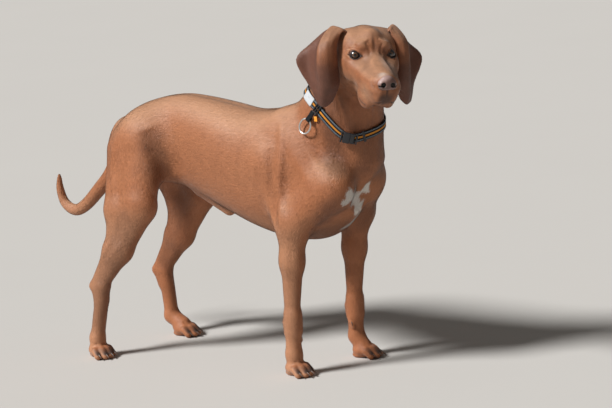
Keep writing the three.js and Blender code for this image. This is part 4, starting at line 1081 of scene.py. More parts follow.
def skin_mesh(settings):
    points, quads, others = skin_arrays(settings)
    normals = unit(slope_of(BODY.distance, points)[1])
    flow = BODY.hair_flow(points, normals)
    ear = np.zeros(len(points))
    all_points, all_quads, all_flow, all_ear = [points], [quads], [flow], [ear]
    for s in (RIGHT, LEFT):
        ear_points, ear_quads, ear_flow, out = ear_shell(s, settings)
        offset = sum(len(p) for p in all_points)
        all_points.append(ear_points)
        all_quads.append(ear_quads + offset)
        all_flow.append(ear_flow)
        all_ear.append(0.5 + 0.5 * out)
    points = np.concatenate(all_points)
    faces = np.concatenate(all_quads).tolist() + others
    mesh = face_mesh("hound_skin", points, faces)
    normals = np.empty(len(points) * 3, np.float32)
    mesh.vertices.foreach_get("normal", normals)
    normals = normals.reshape(-1, 3).astype(float)
    ear = np.concatenate(all_ear)
    for name, values in markings(points, normals).items():
        add_values(mesh, name, values)
    add_values(mesh, "ear", ear)
    return mesh, points, normals, np.concatenate(all_flow), ear


# ------------------------------------------------------------------ the coat's tufts

def tuft_size(points, normals, ear, settings):
    """Length and width of a tuft at each root: long behind and below, least on the face."""
    x, y, z = points.T / MM
    head = HEAD.local(points)[:, 0]
    on_head = blend_step(-130, -70, head) * blend_step(585, 640, z)
    face = on_head * blend_step(-60, 40, head)
    low = 1 - blend_step(70, 330, z)
    foot = 1 - blend_step(30, 75, z)
    length = 12.5 - 4.5 * low - 3.0 * foot
    length = length * (1 - on_head) + (7.5 - 3.0 * face) * on_head
    length = np.where(ear > 0, 6.0, length)
    breech = blend_step(-330, -400, x) * blend_step(220, 300, z) * (1 - blend_step(500, 540, z))
    tail = blend_step(-430, -450, x) * blend_step(250, 280, z) * blend_step(0.0, -0.8, normals[:, 2])
    belly = blend_step(0.0, -0.8, normals[:, 2]) * blend_step(280, 300, z) * (1 - on_head)
    length += 2.5 * breech * (1 - tail) + 3.0 * tail + 2.0 * belly
    width = 0.9 + 0.085 * length
    return length * MM * settings.tuft_length, width * MM


def zone_of(points, ear):
    """Which coat piece each root belongs to."""
    x, y, z = points.T / MM
    head = HEAD.local(points)[:, 0]
    zone = np.full(len(points), "trunk", dtype=object)
    zone[(x > 75) & (z > 300)] = "chest"
    zone[(x > 118) & (z > 515)] = "neck"
    zone[(head > -108) & (z > 590) & (x > 220)] = "head"
    zone[ear > 0] = "ears"
    zone[x <= -200] = "rump"
    zone[(x <= -185) & (z < 390)] = "hindlegs"
    zone[(x < -428) & (z > 262)] = "tail"
    zone[(x > 20) & (z < 305)] = "forelegs"
    return zone


COAT_SHARE = {
    "head": 30000, "ears": 22000, "neck": 14000, "chest": 20000, "trunk": 24000,
    "rump": 18000, "hindlegs": 26000, "forelegs": 22000, "tail": 5000,
}


class SkinSource:
    """The skin's triangles with what a tuft needs at its root."""

    def __init__(self, skin, points, normals, flow, ear):
        self.points, self.normals, self.flow, self.ear = points, normals, flow, ear
        skin.calc_loop_triangles()
        count = len(skin.loop_triangles)
        corners = np.empty(count * 3, np.int32)
        loops = np.empty(count * 3, np.int32)
        skin.loop_triangles.foreach_get("vertices", corners)
        skin.loop_triangles.foreach_get("loops", loops)
        self.corners = corners.reshape(-1, 3)
        uv = np.empty(len(skin.loops) * 2, np.float32)
        skin.uv_layers["OFBake"].data.foreach_get("uv", uv)
        self.uv = uv.reshape(-1, 2)[loops.reshape(-1, 3)]
        p = points[self.corners]
        self.area = np.linalg.norm(np.cross(p[:, 1] - p[:, 0], p[:, 2] - p[:, 0]), axis=1) / 2
        self.centre = p.mean(1)
        self.zone = zone_of(self.centre, ear[self.corners].mean(1))
        self.tree = BVHTree.FromPolygons((points + ORIGIN).tolist(), self.corners.tolist(),
                                         all_triangles=True)

    def roots(self, zone, count, rng):
        faces = np.nonzero(self.zone == zone)[0]
        weight = np.cumsum(self.area[faces])
        at = (np.arange(count) + rng.random(count)) / count * weight[-1]
        face = faces[np.minimum(np.searchsorted(weight, at), len(faces) - 1)]
        a, b = rng.random(count), rng.random(count)
        a, b = np.where(a + b > 1, 1 - a, a), np.where(a + b > 1, 1 - b, b)
        share = np.stack([1 - a - b, a, b], 1)
        corner = self.corners[face]

        def mixed(values):
            return (values[corner] * share[..., None]).sum(1)
        uv = (self.uv[face] * share[..., None]).sum(1)
        ear = (self.ear[corner] * share).sum(1)
        return mixed(self.points), unit(mixed(self.normals)), mixed(self.flow), ear, uv

    def laid(self, points, lift):
        """The same points laid on the skin at a height above it."""
        result = np.empty_like(points)
        normal = np.empty_like(points)
        find = self.tree.find_nearest
        for i, p in enumerate((points + ORIGIN).tolist()):
            place, direction, _, _ = find(p)
            result[i] = place
            normal[i] = direction
        return result - ORIGIN + normal * lift[:, None], normal


def bare_places(points):
    """One where no hair grows: the rims of the eyes, the nose and under the feet."""
    bare = np.zeros(len(points), bool)
    for s in (RIGHT, LEFT):
        eye = EyeFrame(s)
        u, v, w = eye.local(points)
        bare |= (eye.opening(u, v) < 3.2) & (w > -6) & (w < 30)
    x, y, z = HEAD.local(points).T
    bare |= np.sqrt(((x - 104) / 15) ** 2 + (y / 23) ** 2 + ((z + 44) / 18) ** 2) < 1.0
    bare |= points[:, 2] < 3.0 * MM
    return bare


def tuft_mesh(name, source, zone, count, settings, seed):
    """Thin solid tufts, each rooted in the skin and laid along the way the hair flows."""
    rng = np.random.default_rng(seed)
    root, normal, flow, ear, uv = source.roots(zone, count, rng)
    keep = ~bare_places(root)
    root, normal, flow, ear, uv = root[keep], normal[keep], flow[keep], ear[keep], uv[keep]
    count = len(root)
    length, width = tuft_size(root, normal, ear, settings)
    length = length * rng.uniform(0.7, 1.25, count)
    width = width * rng.uniform(0.75, 1.25, count)
    flow = unit(flow - (flow * normal).sum(1, keepdims=True) * normal)
    across = np.cross(normal, flow)
    swirl = 0.07 * lumps(root, 0.06, 21) + rng.normal(0, 0.05, count)
    way = unit(flow + swirl[:, None] * across)
    depth = coat_depth(root, settings)
    depth = np.where(ear > 0, 0.8 * depth, depth)
    rise = depth * rng.uniform(0.12, 0.46, count)
    middle, middle_normal = source.laid(root + way * (0.45 * length)[:, None], rise * 0.55)
    tip, _ = source.laid(root + way * length[:, None], rise)
    side = unit(np.cross(middle_normal, tip - root)) * (width / 2)[:, None]
    base = root - normal * (0.25 * depth)[:, None]
    top = middle + middle_normal * (0.12 * width + 0.06 * depth)[:, None]
    low = middle - middle_normal * (0.20 * depth)[:, None]
    points = np.stack([base, low - side, low + side, top, tip], 1).reshape(-1, 3)
    points[:, 2] = np.maximum(points[:, 2], 0.2 * MM)
    first = (np.arange(count) * 5)[:, None]
    pattern = np.array([[0, 3, 1], [0, 2, 3], [4, 1, 3], [4, 3, 2], [0, 1, 2], [4, 2, 1]])
    triangles = (first[:, :, None] + pattern[None]).reshape(-1, 3)
    mesh = triangle_mesh(name, points, triangles)
    tilt = rng.normal(0, 0.14, count)[:, None] * across + rng.normal(0, 0.08, count)[:, None] * way
    tilt *= np.where(ear > 0, 0.6, 1.0)[:, None]
    out = middle_normal + tilt
    edge = 1.5 * side / width[:, None]
    lean = np.stack([normal + 0.5 * tilt, out - edge, out + edge, out, out], 1)
    mesh.normals_split_custom_set_from_vertices(unit(lean).reshape(-1, 3).tolist())
    patch = 0.003 * np.array([(0, -0.5), (-0.4, 0), (0.4, 0), (0, 0), (0, 0.5)])
    corner_uv = np.clip(uv[:, None, :] + patch[None], 0, 1)
    corner_uv = corner_uv[:, pattern.ravel()].reshape(-1, 2)
    layer = mesh.uv_layers.new(name="OFBake")
    layer.data.foreach_set("uv", corner_uv.astype(np.float32).ravel())
    for key, values in markings(root, normal).items():
        add_values(mesh, key, np.repeat(values, 5))
    add_values(mesh, "ear", np.repeat(ear, 5))
    add_values(mesh, "shade", np.repeat(rng.normal(0, 1, count).clip(-2, 2), 5))
    return mesh


# ------------------------------------------------------------------ face pieces

def nose_body():
    nose = Body()

    def blob(at, radii, blend, pitch=0.0, yaw=0.0, carve=False):
        nose.blob_at(HEAD.point(*at), radii, blend, HEAD.axes @ turned(yaw, pitch), carve=carve)
    blob((101, 0, -43), (16, 18, 17.5), 6)
    for s in (RIGHT, LEFT):
        blob((104, s * 11, -47), (12, 10.2, 12), 4)
    for s in (RIGHT, LEFT):
        blob((119, s * NOSTRIL[1], NOSTRIL[2]), (9, 5.4, 5.8), 2, yaw=s * 12, carve=True)
        blob((112, s * 18, -50), (10, 6, 1.8), 2, yaw=s * 35, pitch=-12, carve=True)
    return nose


def nose_mesh():
    nose = nose_body()
    groove = Relief()
    groove.line(HEAD.points([(116, 0, -34), (120, 0, -44), (116, 0, -56), (108, 0, -62)]), 1.8, -1.8)
    low = HEAD.point(102, 0, -44) - vec(30, 30, 30) * MM
    high = low + vec(60, 60, 60) * MM
    points, quads = surface_net(low, 1.3 * MM, nose.on_grid(low, high, 1.3 * MM))

    def field(p):
        return nose.distance(p) - groove.height(p)
    mean = neighbour_mean(points, quads, [])
    for _ in range(2):
        points = settle(field, points, 1, 0.002)
        points = relax(points, mean, unit(slope_of(field, points)[1]))
    points = settle(field, points, 2, 0.002)
    mesh = face_mesh("hound_nose", points, quads.tolist())
    x, y, z = HEAD.local(points).T
    # The nostrils and their slits, to be darkened as painted shade.
    hole = np.sqrt(((x - NOSTRIL[0]) / 8) ** 2 + ((np.abs(y) - NOSTRIL[1]) / 6.2) ** 2
                   + ((z - NOSTRIL[2]) / 6.2) ** 2)
    slit = np.sqrt(((x - 106) / 14) ** 2 + ((np.abs(y) - 17) / 7) ** 2 + ((z + 50) / 2.6) ** 2)
    add_values(mesh, "hole", np.maximum(blend_step(1.05, 0.8, hole), 0.9 * blend_step(1.0, 0.7, slit)))
    # The nose's upper side paler, a painted reflection of the sky on the wet leather.
    add_values(mesh, "top", blend_step(-40, -30, z - 0.45 * y) * 0.75)
    return mesh


def view_direction():
    """The way from the hound to the camera."""
    level = math.cos(VIEW["height"])
    return unit(vec(math.sin(VIEW["round"]) * level, -math.cos(VIEW["round"]) * level,
                    math.sin(VIEW["height"])))


def eye_mesh(name, side):
    """An eyeball of rings round its gaze, with the clear front bulging."""
    middle = HEAD.point(EYE_AT[0], side * EYE_AT[1], EYE_AT[2])
    forward = unit(HEAD.direction(1, side * 0.10 - 0.16, 0.0) + 0.9 * view_direction())
    right = unit(np.cross(forward, vec(0, 0, 1)))
    upward = np.cross(right, forward)
    spokes = 48
    angles = np.concatenate([np.linspace(1.5, 60, 40), np.linspace(66, 174, 19)])
    radius = (EYE_RADIUS - 0.4) * MM * (1 + 0.055 * np.exp(-(angles / 30.0) ** 2))
    turn = np.linspace(0, 2 * math.pi, spokes, endpoint=False)
    points, polar = [middle + forward * radius[0]], [0.0]
    for a, r in zip(angles, radius):
        ring = (np.cos(turn)[:, None] * right + np.sin(turn)[:, None] * upward) * math.sin(math.radians(a))
        points.extend(middle + r * (ring + forward * math.cos(math.radians(a))))
        polar.extend([a] * spokes)
    points.append(middle - forward * radius[-1])
    polar.append(180.0)
    faces = [(0, 1 + i, 1 + (i + 1) % spokes) for i in range(spokes)]
    for ring in range(len(angles) - 1):
        a = 1 + ring * spokes
        for i in range(spokes):
            j = (i + 1) % spokes
            faces.append((a + i, a + spokes + i, a + spokes + j, a + j))
    last = 1 + (len(angles) - 1) * spokes
    faces += [(len(points) - 1, last + (i + 1) % spokes, last + i) for i in range(spokes)]
    mesh = face_mesh(name, np.array(points), faces)
    add_values(mesh, "polar", polar)
    return mesh


def tube_faces(rings, spokes, closed=False):
    """Faces that join rings of equal points, closed on themselves or capped at both ends."""
    faces = []
    for ring in range(rings if closed else rings - 1):
        here, there = ring * spokes, (ring + 1) % rings * spokes
        for i in range(spokes):
            j = (i + 1) % spokes
            faces.append((here + i, here + j, there + j, there + i))
    if not closed:
        faces.append(tuple(range(spokes - 1, -1, -1)))
        faces.append(tuple((rings - 1) * spokes + i for i in range(spokes)))
    return faces


def tube(path, radii, spokes, start=None):
    """A closed tapering tube along a path."""
    path = np.asarray(path, float)
    radii = np.asarray(radii, float)
    along = unit(np.gradient(path, axis=0))
    guide = vec(0.3, 0.2, 1) if start is None else start
    points = []
    for p, t, r in zip(path, along, radii):
        a = unit(np.cross(t, guide))
        b = np.cross(t, a)
        for i in range(spokes):
            turn = 2 * math.pi * i / spokes
            points.append(p + r * (a * math.cos(turn) + b * math.sin(turn)))
    return points, tube_faces(len(path), spokes)


def whisker_mesh():
    """Fine tapering hairs in rows on the lips."""
    rng = np.random.default_rng(5)
    points, faces = [], []
    roots = []
    for s in (RIGHT, LEFT):
        roots += whisker_roots(s)
    for at, way, long in roots:
        start = HEAD.point(*at)
        ahead = HEAD.direction(*(np.array(way) + rng.normal(0, 0.12, 3)))
        hit, out = root_on_skin(start)
        size = long * MM * rng.uniform(0.7, 1.2)
        t = np.linspace(0, 1, 7)[:, None]
        droop = HEAD.direction(-1, 0, -0.6)
        path = hit - out * MM + ahead * size * t + droop * size * 0.35 * t * t
        some, more = tube(path, np.linspace(0.13, 0.03, 7) * MM, 4)
        faces += [tuple(v + len(points) for v in f) for f in more]
        points += some
    return face_mesh("whiskers", np.array(points), faces)


def root_on_skin(start):
    """The skin's nearest point to a start, and the way out of it."""
    place = settle(BODY.distance, start[None], 4, 0.02)[0]
    out = unit(slope_of(BODY.distance, place[None])[1])[0]
    return place, out


# ------------------------------------------------------------------ the collar

def collar_path(angles):
    """Where rays from the middle of the neck leave the body, at angles from straight ahead."""
    angles = np.asarray(angles, float)
    turn = np.radians(angles)
    past = (angles - COLLAR["sag_angle"]) / COLLAR["sag_spread"]
    sag = COLLAR["sag"] * np.exp(-past * past / 2)
    start = np.stack([np.full(len(angles), COLLAR["centre_x"]), 0 * angles, COLLAR["height"] - sag], 1) * MM
    ray = np.stack([np.cos(turn), np.sin(turn), COLLAR["slope"] * np.cos(turn)], 1)
    inside = np.full(len(angles), 20 * MM)
    outside = np.full(len(angles), 170 * MM)
    for _ in range(24):
        middle = (inside + outside) / 2
        within = BODY.distance(start + ray * middle[:, None]) < 0
        inside = np.where(within, middle, inside)
        outside = np.where(within, outside, middle)
    return start + ray * inside[:, None]


def raised(points, height):
    """Points moved along the body's slope to their heights above it, in millimetres."""
    def field(p):
        return BODY.distance(p) - height * MM
    return settle(field, points, 4, 0.01)


def collar_frames(angles):
    """The path with its direction along the webbing, across it and out from the neck."""
    angles = np.asarray(angles, float)
    path = collar_path(angles)
    along = unit(collar_path(angles + 2) - collar_path(angles - 2))
    out = unit(slope_of(BODY.distance, path)[1])
    across = unit(np.cross(out, along))
    return path, along, across, out


def webbing(angles, width, inner, outer, closed, columns=11, ripple=0.0):
    """A band round the neck: its section is a flat strip with rounded edges."""
    path, _, across, _ = collar_frames(angles)
    share = np.linspace(-1, 1, columns)
    rim = np.sqrt(np.clip(1 - np.abs(share) ** 14, 0, 1))
    middle = (inner + outer) / 2
    half = (outer - inner) / 2
    rows, across_value, along_value = [], [], []
    reach = np.concatenate([[0], np.cumsum(np.linalg.norm(np.diff(path, axis=0), axis=1))])
    for sign, order in ((1, range(columns)), (-1, range(columns - 2, 0, -1))):
        for c in order:
            height = middle + sign * half * (0.25 + 0.75 * rim[c])
            at = path + across * (share[c] * width / 2 * MM)
            rows.append(raised(at, height + ripple * np.sin(reach * 260 + c * 0.9)))
            across_value.append(share[c] * width / 2)
            along_value.append(reach)
    ring = len(rows)
    points = np.stack(rows, 1).reshape(-1, 3)
    across_value = np.tile(across_value, len(path))
    along_value = np.stack(along_value, 1).ravel() / MM
    return points, tube_faces(len(path), ring, closed), across_value, along_value


def band_mesh(name, points, faces, across, along):
    mesh = face_mesh(name, points, faces)
    recalculated(mesh)
    add_values(mesh, "across", across)
    add_values(mesh, "along", along)
    return mesh


def recalculated(mesh):
    form = bmesh.new()
    form.from_mesh(mesh)
    bmesh.ops.recalc_face_normals(form, faces=form.faces)
    form.to_mesh(mesh)
    form.free()


def rounded_box(size, bevel, segments=3):
    """A block with rounded edges as a bmesh, sizes in millimetres."""
    form = bmesh.new()
    bmesh.ops.create_cube(form, size=1.0)
    for v in form.verts:
        v.co = Vector((v.co.x * size[0], v.co.y * size[1], v.co.z * size[2])) * MM
    bmesh.ops.bevel(form, geom=list(form.edges), offset=bevel * MM, segments=segments,
                    profile=0.6, affect="EDGES", clamp_overlap=True)
    return form


def mesh_of(form, name):
    """The mesh of a bmesh, its faces turned outward and shaded smooth."""
    mesh = bpy.data.meshes.new(name)
    bmesh.ops.recalc_face_normals(form, faces=form.faces)
    form.to_mesh(mesh)
    form.free()
    shade_smooth(mesh)
    return mesh


def bent_parts(name, angle, height, parts):
    """Blocks laid on the neck at one angle and bent to it: x along, y across, z out."""
    path, along, across, _ = collar_frames([angle])
    joined = bmesh.new()
    for size, at, bevel in parts:
        form = rounded_box(size, bevel)
        bmesh.ops.subdivide_edges(form, edges=[e for e in form.edges if e.calc_length() > 4 * MM],
                                  cuts=3, use_grid_fill=True)
        bmesh.ops.translate(form, verts=form.verts, vec=Vector(at) * MM)
        piece = bpy.data.meshes.new("part")
        form.to_mesh(piece)
        form.free()
        joined.from_mesh(piece)
        bpy.data.meshes.remove(piece)
    local = np.array([v.co for v in joined.verts])
    flat = path[0] + along[0] * local[:, :1] + across[0] * local[:, 1:2]
    points = raised(raised(flat, height), height + local[:, 2] / MM)
    for v, p in zip(joined.verts, points):
        v.co = Vector(p + ORIGIN)
    return mesh_of(joined, name)


def beside_neck(x, z, lift):
    """A point off the neck's right side, at a height above it in millimetres."""
    inside, outside = 0.0, -200 * MM
    for _ in range(24):
        middle = (inside + outside) / 2
        if BODY.distance(np.array([[x * MM, middle, z * MM]]))[0] < lift * MM:
            inside = middle
        else:
            outside = middle
    return vec(x * MM, inside, z * MM)


def ring_frame():
    centre = beside_neck(RING["x"], RING["z"], RING["lift"])
    top = beside_neck(LOOP["x"], LOOP["z"], LOOP["lift"])
    out = unit(slope_of(BODY.distance, centre[None], step=6 * MM)[1])[0]
    hang = centre - top
    down = unit(hang - (hang @ out) * out)
    return centre, top, down, out, unit(np.cross(down, out))


def ring_mesh():
    centre, _, down, out, across = ring_frame()
    points = []
    turns, spokes = 72, 16
    for i in range(turns):
        a = 2 * math.pi * i / turns
        at = centre + across * math.cos(a) * RING["wide"] * MM + down * math.sin(a) * RING["long"] * MM
        normal = unit(across * math.cos(a) * RING["long"] + down * math.sin(a) * RING["wide"])
        for k in range(spokes):
            b = 2 * math.pi * k / spokes
            points.append(at + (normal * math.cos(b) + out * math.sin(b)) * RING["wire"] * MM)
    mesh = face_mesh("collar_ring_steel", np.array(points), tube_faces(turns, spokes, True))
    recalculated(mesh)
    return mesh


def loop_mesh():
    """A strip of webbing folded round the ring's wire, its two ends lying side by side."""
    centre, top, down, out, across = ring_frame()
    eye = centre - down * (RING["long"] - 0.7) * MM
    long = np.linalg.norm(eye - top) / MM
    r = LOOP["bore"] + LOOP["wall"] / 2
    outline = [(1.0, -long - 4), (1.0, -long * 0.6), (r * 0.8, -r * 1.1)]
    outline += [(r * math.cos(a), r * math.sin(a)) for a in np.linspace(-0.5, math.pi + 0.5, 17)]
    outline += [(-r * 0.8, -r * 1.1), (-1.0, -long * 0.6), (-1.0, -long - 4)]
    outline = smooth_path(np.array(outline), 3)
    normal = np.stack([-np.gradient(outline[:, 1]), np.gradient(outline[:, 0])], 1)
    normal /= np.linalg.norm(normal, axis=1, keepdims=True)
    wide = np.linspace(-1, 1, 9)
    points, across_value = [], []
    for (a, b), n in zip(outline, normal):
        for sign, order in ((1, range(9)), (-1, range(7, 0, -1))):
            for c in order:
                half = LOOP["wall"] / 2 * (0.4 + 0.6 * math.sqrt(max(0, 1 - abs(wide[c]) ** 10)))
                x = a + sign * n[0] * half
                y = b + sign * n[1] * half
                points.append(eye + (out * x + down * y + across * wide[c] * LOOP["width"] / 2) * MM)
                across_value.append(wide[c] * LOOP["width"] / 2)
    ring = 16
    reach = np.concatenate([[0], np.cumsum(np.linalg.norm(np.diff(outline, axis=0), axis=1))])
    return band_mesh("collar_loop_webbing", np.array(points), tube_faces(len(outline), ring),
                     across_value, np.repeat(reach, ring))


def tag_mesh():
    at = beside_neck(TAG["x"], TAG["z"], TAG["lift"])
    out = unit(slope_of(BODY.distance, at[None], step=6 * MM)[1])[0]
    across = unit(np.cross(vec(0, 0, 1), out))
    upward = np.cross(out, across)
    form = rounded_box((TAG["wide"], TAG["long"], TAG["thick"]), 0.5)
    bmesh.ops.subdivide_edges(form, edges=[e for e in form.edges if e.calc_length() > 3 * MM],
                              cuts=3, use_grid_fill=True)
    for v in form.verts:
        bend = 0.9 * math.sin(v.co.y / MM * 0.35) * MM
        v.co = Vector(at + ORIGIN + across * v.co.x + upward * v.co.y + out * (v.co.z + bend))
    return mesh_of(form, "collar_tag_woven")


# ------------------------------------------------------------------ repeated pieces

def repeat_tree(name, shape, material):
    """Geometry nodes that set one shape on every point, turned and sized by its values."""
    tree = bpy.data.node_groups.new(name, "GeometryNodeTree")
    tree.interface.new_socket("Geometry", in_out="INPUT", socket_type="NodeSocketGeometry")
    size = tree.interface.new_socket("Size", in_out="INPUT", socket_type="NodeSocketFloat")
    size.default_value = 1.0
    tree.interface.new_socket("Geometry", in_out="OUTPUT", socket_type="NodeSocketGeometry")
    nodes, links = tree.nodes, tree.links
    start = nodes.new("NodeGroupInput")
    end = nodes.new("NodeGroupOutput")
    source = nodes.new("GeometryNodeObjectInfo")
    source.inputs["Object"].default_value = shape
    turn = nodes.new("GeometryNodeInputNamedAttribute")
    turn.data_type = "FLOAT_VECTOR"
    turn.inputs["Name"].default_value = "turn"
    grow = nodes.new("GeometryNodeInputNamedAttribute")
    grow.data_type = "FLOAT"
    grow.inputs["Name"].default_value = "grow"
    scaled = nodes.new("ShaderNodeMath")
    scaled.operation = "MULTIPLY"
    place = nodes.new("GeometryNodeInstanceOnPoints")
    real = nodes.new("GeometryNodeRealizeInstances")
    paint = nodes.new("GeometryNodeSetMaterial")
    paint.inputs["Material"].default_value = material
    links.new(start.outputs["Geometry"], place.inputs["Points"])
    links.new(source.outputs["Geometry"], place.inputs["Instance"])
    links.new(turn.outputs["Attribute"], place.inputs["Rotation"])
    links.new(grow.outputs["Attribute"], scaled.inputs[0])
    links.new(start.outputs["Size"], scaled.inputs[1])
    links.new(scaled.outputs[0], place.inputs["Scale"])
    links.new(place.outputs["Instances"], real.inputs["Geometry"])
    links.new(real.outputs["Geometry"], paint.inputs["Geometry"])
    links.new(paint.outputs["Geometry"], end.inputs["Geometry"])
    return tree, size.identifier


def repeated_mesh(name, shape_mesh, places, grow, material, size=1.0):
    """One mesh of a shape set at many places, by geometry nodes made real."""
    scene = bpy.context.scene
    shape = bpy.data.objects.new(name + "_shape", shape_mesh)
    scene.collection.objects.link(shape)
    points = bpy.data.meshes.new(name + "_points")
    points.from_pydata([tuple(p.at + ORIGIN) for p in places], [], [])
    turns = [Matrix(p.axes.tolist()).to_euler() for p in places]
    layer = points.attributes.new("turn", "FLOAT_VECTOR", "POINT")
    layer.data.foreach_set("vector", np.array([tuple(t) for t in turns], np.float32).ravel())
    add_values(points, "grow", grow)
    holder = bpy.data.objects.new(name + "_holder", points)
    scene.collection.objects.link(holder)
    tree, size_input = repeat_tree(name + "_repeat", shape, material)
    modifier = holder.modifiers.new("repeat", "NODES")
    modifier.node_group = tree
    modifier[size_input] = size
    evaluated = holder.evaluated_get(bpy.context.evaluated_depsgraph_get())
    mesh = bpy.data.meshes.new_from_object(evaluated)
    mesh.name = name
    for unused in (holder, shape):
        bpy.data.objects.remove(unused)
    bpy.data.node_groups.remove(tree)
    bpy.data.meshes.remove(points)
    for key in [a.name for a in mesh.attributes if a.name in ("turn", "grow")]:
        mesh.attributes.remove(mesh.attributes[key])
    return mesh


def shape_mesh(name, points, faces):
    """A shape to be repeated, about its own root."""
    mesh = bpy.data.meshes.new(name)
    mesh.from_pydata(points, [], faces)
    recalculated(mesh)
    shade_smooth(mesh)
    return mesh


def claw_shape():
    """A curved horn with a flatter underside, pointing along x from its root."""
    rings, spokes = 10, 12
    points = []
    for ring in range(rings):
        t = ring / (rings - 1)
        centre = vec(14 * t, 0, -6.5 * t * t)
        along = unit(vec(14, 0, -13 * t))
        across = vec(0, 1, 0)
        upward = np.cross(along, across)
        size = 3.1 * (1 - t) ** 0.8 + 0.55
        for n in range(spokes):
            a = 2 * math.pi * n / spokes
            tall = math.sin(a) * (1.0 if math.sin(a) > 0 else 0.8)
            points.append(tuple((centre + size * (across * math.cos(a) * 0.66 + upward * tall)) * MM))
    return shape_mesh("claw_shape", points, tube_faces(rings, spokes))


def claw_places():
    places, grow, nodes = [], [], []
    for part, legs in (("fore", FORELEGS), ("hind", HINDLEGS)):
        for name, s in SIDES.items():
            leg = legs[s]
            foot = Place(np.asarray(leg["paw"], float) * MM, turned(leg["toe_out"]))
            for n, i in enumerate(TOES):
                x = 34 if abs(i) < 1 else 24
                places.append(Place(foot.point(x, i * 14, 11.5), foot.axes))
                grow.append(1.0)
                nodes.append(f"claw_{part}_{name}_{n + 1}")
            if part == "fore":
                at = spot(leg["wrist"], 1, -s * 19, -31) * MM
                ahead = unit(vec(0.5, -s * 0.35, -0.3))
                left = unit(np.cross(vec(0, 0, 1), ahead))
                places.append(Place(at, np.stack([ahead, left, np.cross(ahead, left)], 1)))
                grow.append(0.72)
                nodes.append(f"claw_{part}_{name}_dew")
    return places, grow, nodes


def stitch_shape(long=2.6, thick=0.42):
    t = np.linspace(-1, 1, 6)
    path = np.stack([t * long / 2, 0 * t, 0.35 * (1 - t * t)], 1) * MM
    points, faces = tube(path, thick / 2 * MM * np.sqrt(1.05 - t**2 * 0.7), 6, start=vec(0, 0, 1))
    return shape_mesh("stitch_shape", [tuple(p) for p in points], faces)


def stitch_places():
    """A row of stitches by each edge of the webbing, between the pieces that lie on it."""
    places = []
    angles = np.arange(-180, 180, 2.0)
    angles = angles[~((angles > -150) & (angles < -94)) & ~((angles > -59) & (angles < -20))]
    path, along, across, out = collar_frames(angles)
    for off_middle in (-8.7, 8.7):
        at = raised(path + across * off_middle * MM, STRAP_OUTER + 0.05)
        for p, a, o in zip(at, along, out):
            left = unit(np.cross(o, a))
            places.append(Place(p, np.stack([a, left, np.cross(a, left)], 1)))
    return places


# ------------------------------------------------------------------ shaders

class Wire:
    """A shader value: the usual operators on it add Math nodes."""

    def __init__(self, paint, socket):
        self.paint = paint
        self.socket = socket

    def math(self, operation, *others, first=None):
        inputs = dict(enumerate(([first] if first is not None else []) + [self] + list(others)))
        return self.paint.node("ShaderNodeMath", {"operation": operation}, inputs)[0]

    def __add__(self, other):
        return self.math("ADD", other)

    def __radd__(self, other):
        return self.math("ADD", other)

    def __sub__(self, other):
        return self.math("SUBTRACT", other)

    def __rsub__(self, other):
        return self.math("SUBTRACT", first=other)

    def __mul__(self, other):
        return self.math("MULTIPLY", other)

    def __rmul__(self, other):
        return self.math("MULTIPLY", other)

    def __truediv__(self, other):
        return self.math("DIVIDE", other)

    def above(self, low, high):
        """Nothing below low, one past high, smooth between."""
        return self.paint.node("ShaderNodeMapRange", {"interpolation_type": "SMOOTHSTEP"},
                               {"Value": self, "From Min": low, "From Max": high})["Result"]

    def size(self):
        return self.math("ABSOLUTE")

    def wave(self):
        return self.math("SINE")


class Made:
    """A node's outputs, by name or number, as wires."""

    def __init__(self, paint, node):
        self.paint = paint
        self.made = node

    def __getitem__(self, key):
        return Wire(self.paint, self.made.outputs[key])


class Paint:
    """One material: every node in it comes from node()."""

    def __init__(self, name):
        self.material = bpy.data.materials.new(name)
        self.material.use_nodes = True
        self.tree = self.material.node_tree
        self.tree.nodes.clear()

    def node(self, kind, settings=None, inputs=None):
        made = self.tree.nodes.new(kind)
        for key, value in (settings or {}).items():
            if key == "stops":
                ramp = made.color_ramp.elements
                while len(ramp) > 1:
                    ramp.remove(ramp[-1])
                ramp[0].position, ramp[0].color = value[0][0], (*value[0][1], 1)
                for place, colour in value[1:]:
                    ramp.new(place).color = (*colour, 1)
            else:
                setattr(made, key, value)
        for key, value in (inputs or {}).items():
            socket = made.inputs[key]
            if isinstance(value, Wire):
                self.tree.links.new(value.socket, socket)
            elif isinstance(value, (tuple, list)) and socket.type == "RGBA":
                socket.default_value = (*value[:3], 1)
            else:
                socket.default_value = value
        return Made(self, made)

    def place(self):
        return self.node("ShaderNodeTexCoord")["Object"]

    def value(self, name):
        return self.node("ShaderNodeAttribute", {"attribute_name": name})["Fac"]

    def stretched(self, place, scale):
        return self.node("ShaderNodeMapping", {}, {"Vector": place, "Scale": scale})["Vector"]

    def noise(self, place, scale, detail=3.0, rough=0.55):
        return self.node("ShaderNodeTexNoise", {}, {
            "Vector": place, "Scale": scale, "Detail": detail, "Roughness": rough})["Fac"]

    def cells(self, place, scale):
        return self.node("ShaderNodeTexVoronoi", {}, {"Vector": place, "Scale": scale})["Distance"]

    def mix(self, share, a, b):
        return self.node("ShaderNodeMix", {"data_type": "RGBA", "clamp_factor": True},
                         {0: share, 6: a, 7: b})[2]

    def lit(self, colour, value):
        """A colour made lighter or darker by a value round one."""
        return self.node("ShaderNodeVectorMath", {"operation": "SCALE"}, {0: colour, "Scale": value})[0]

    def bump(self, height, distance, strength):
        return self.node("ShaderNodeBump", {}, {
            "Height": height, "Distance": distance, "Strength": strength})["Normal"]

    def finish(self, inputs):
        surface = self.node("ShaderNodeBsdfPrincipled", {}, inputs)
        self.node("ShaderNodeOutputMaterial", {}, {"Surface": surface["BSDF"]})
        return self.material


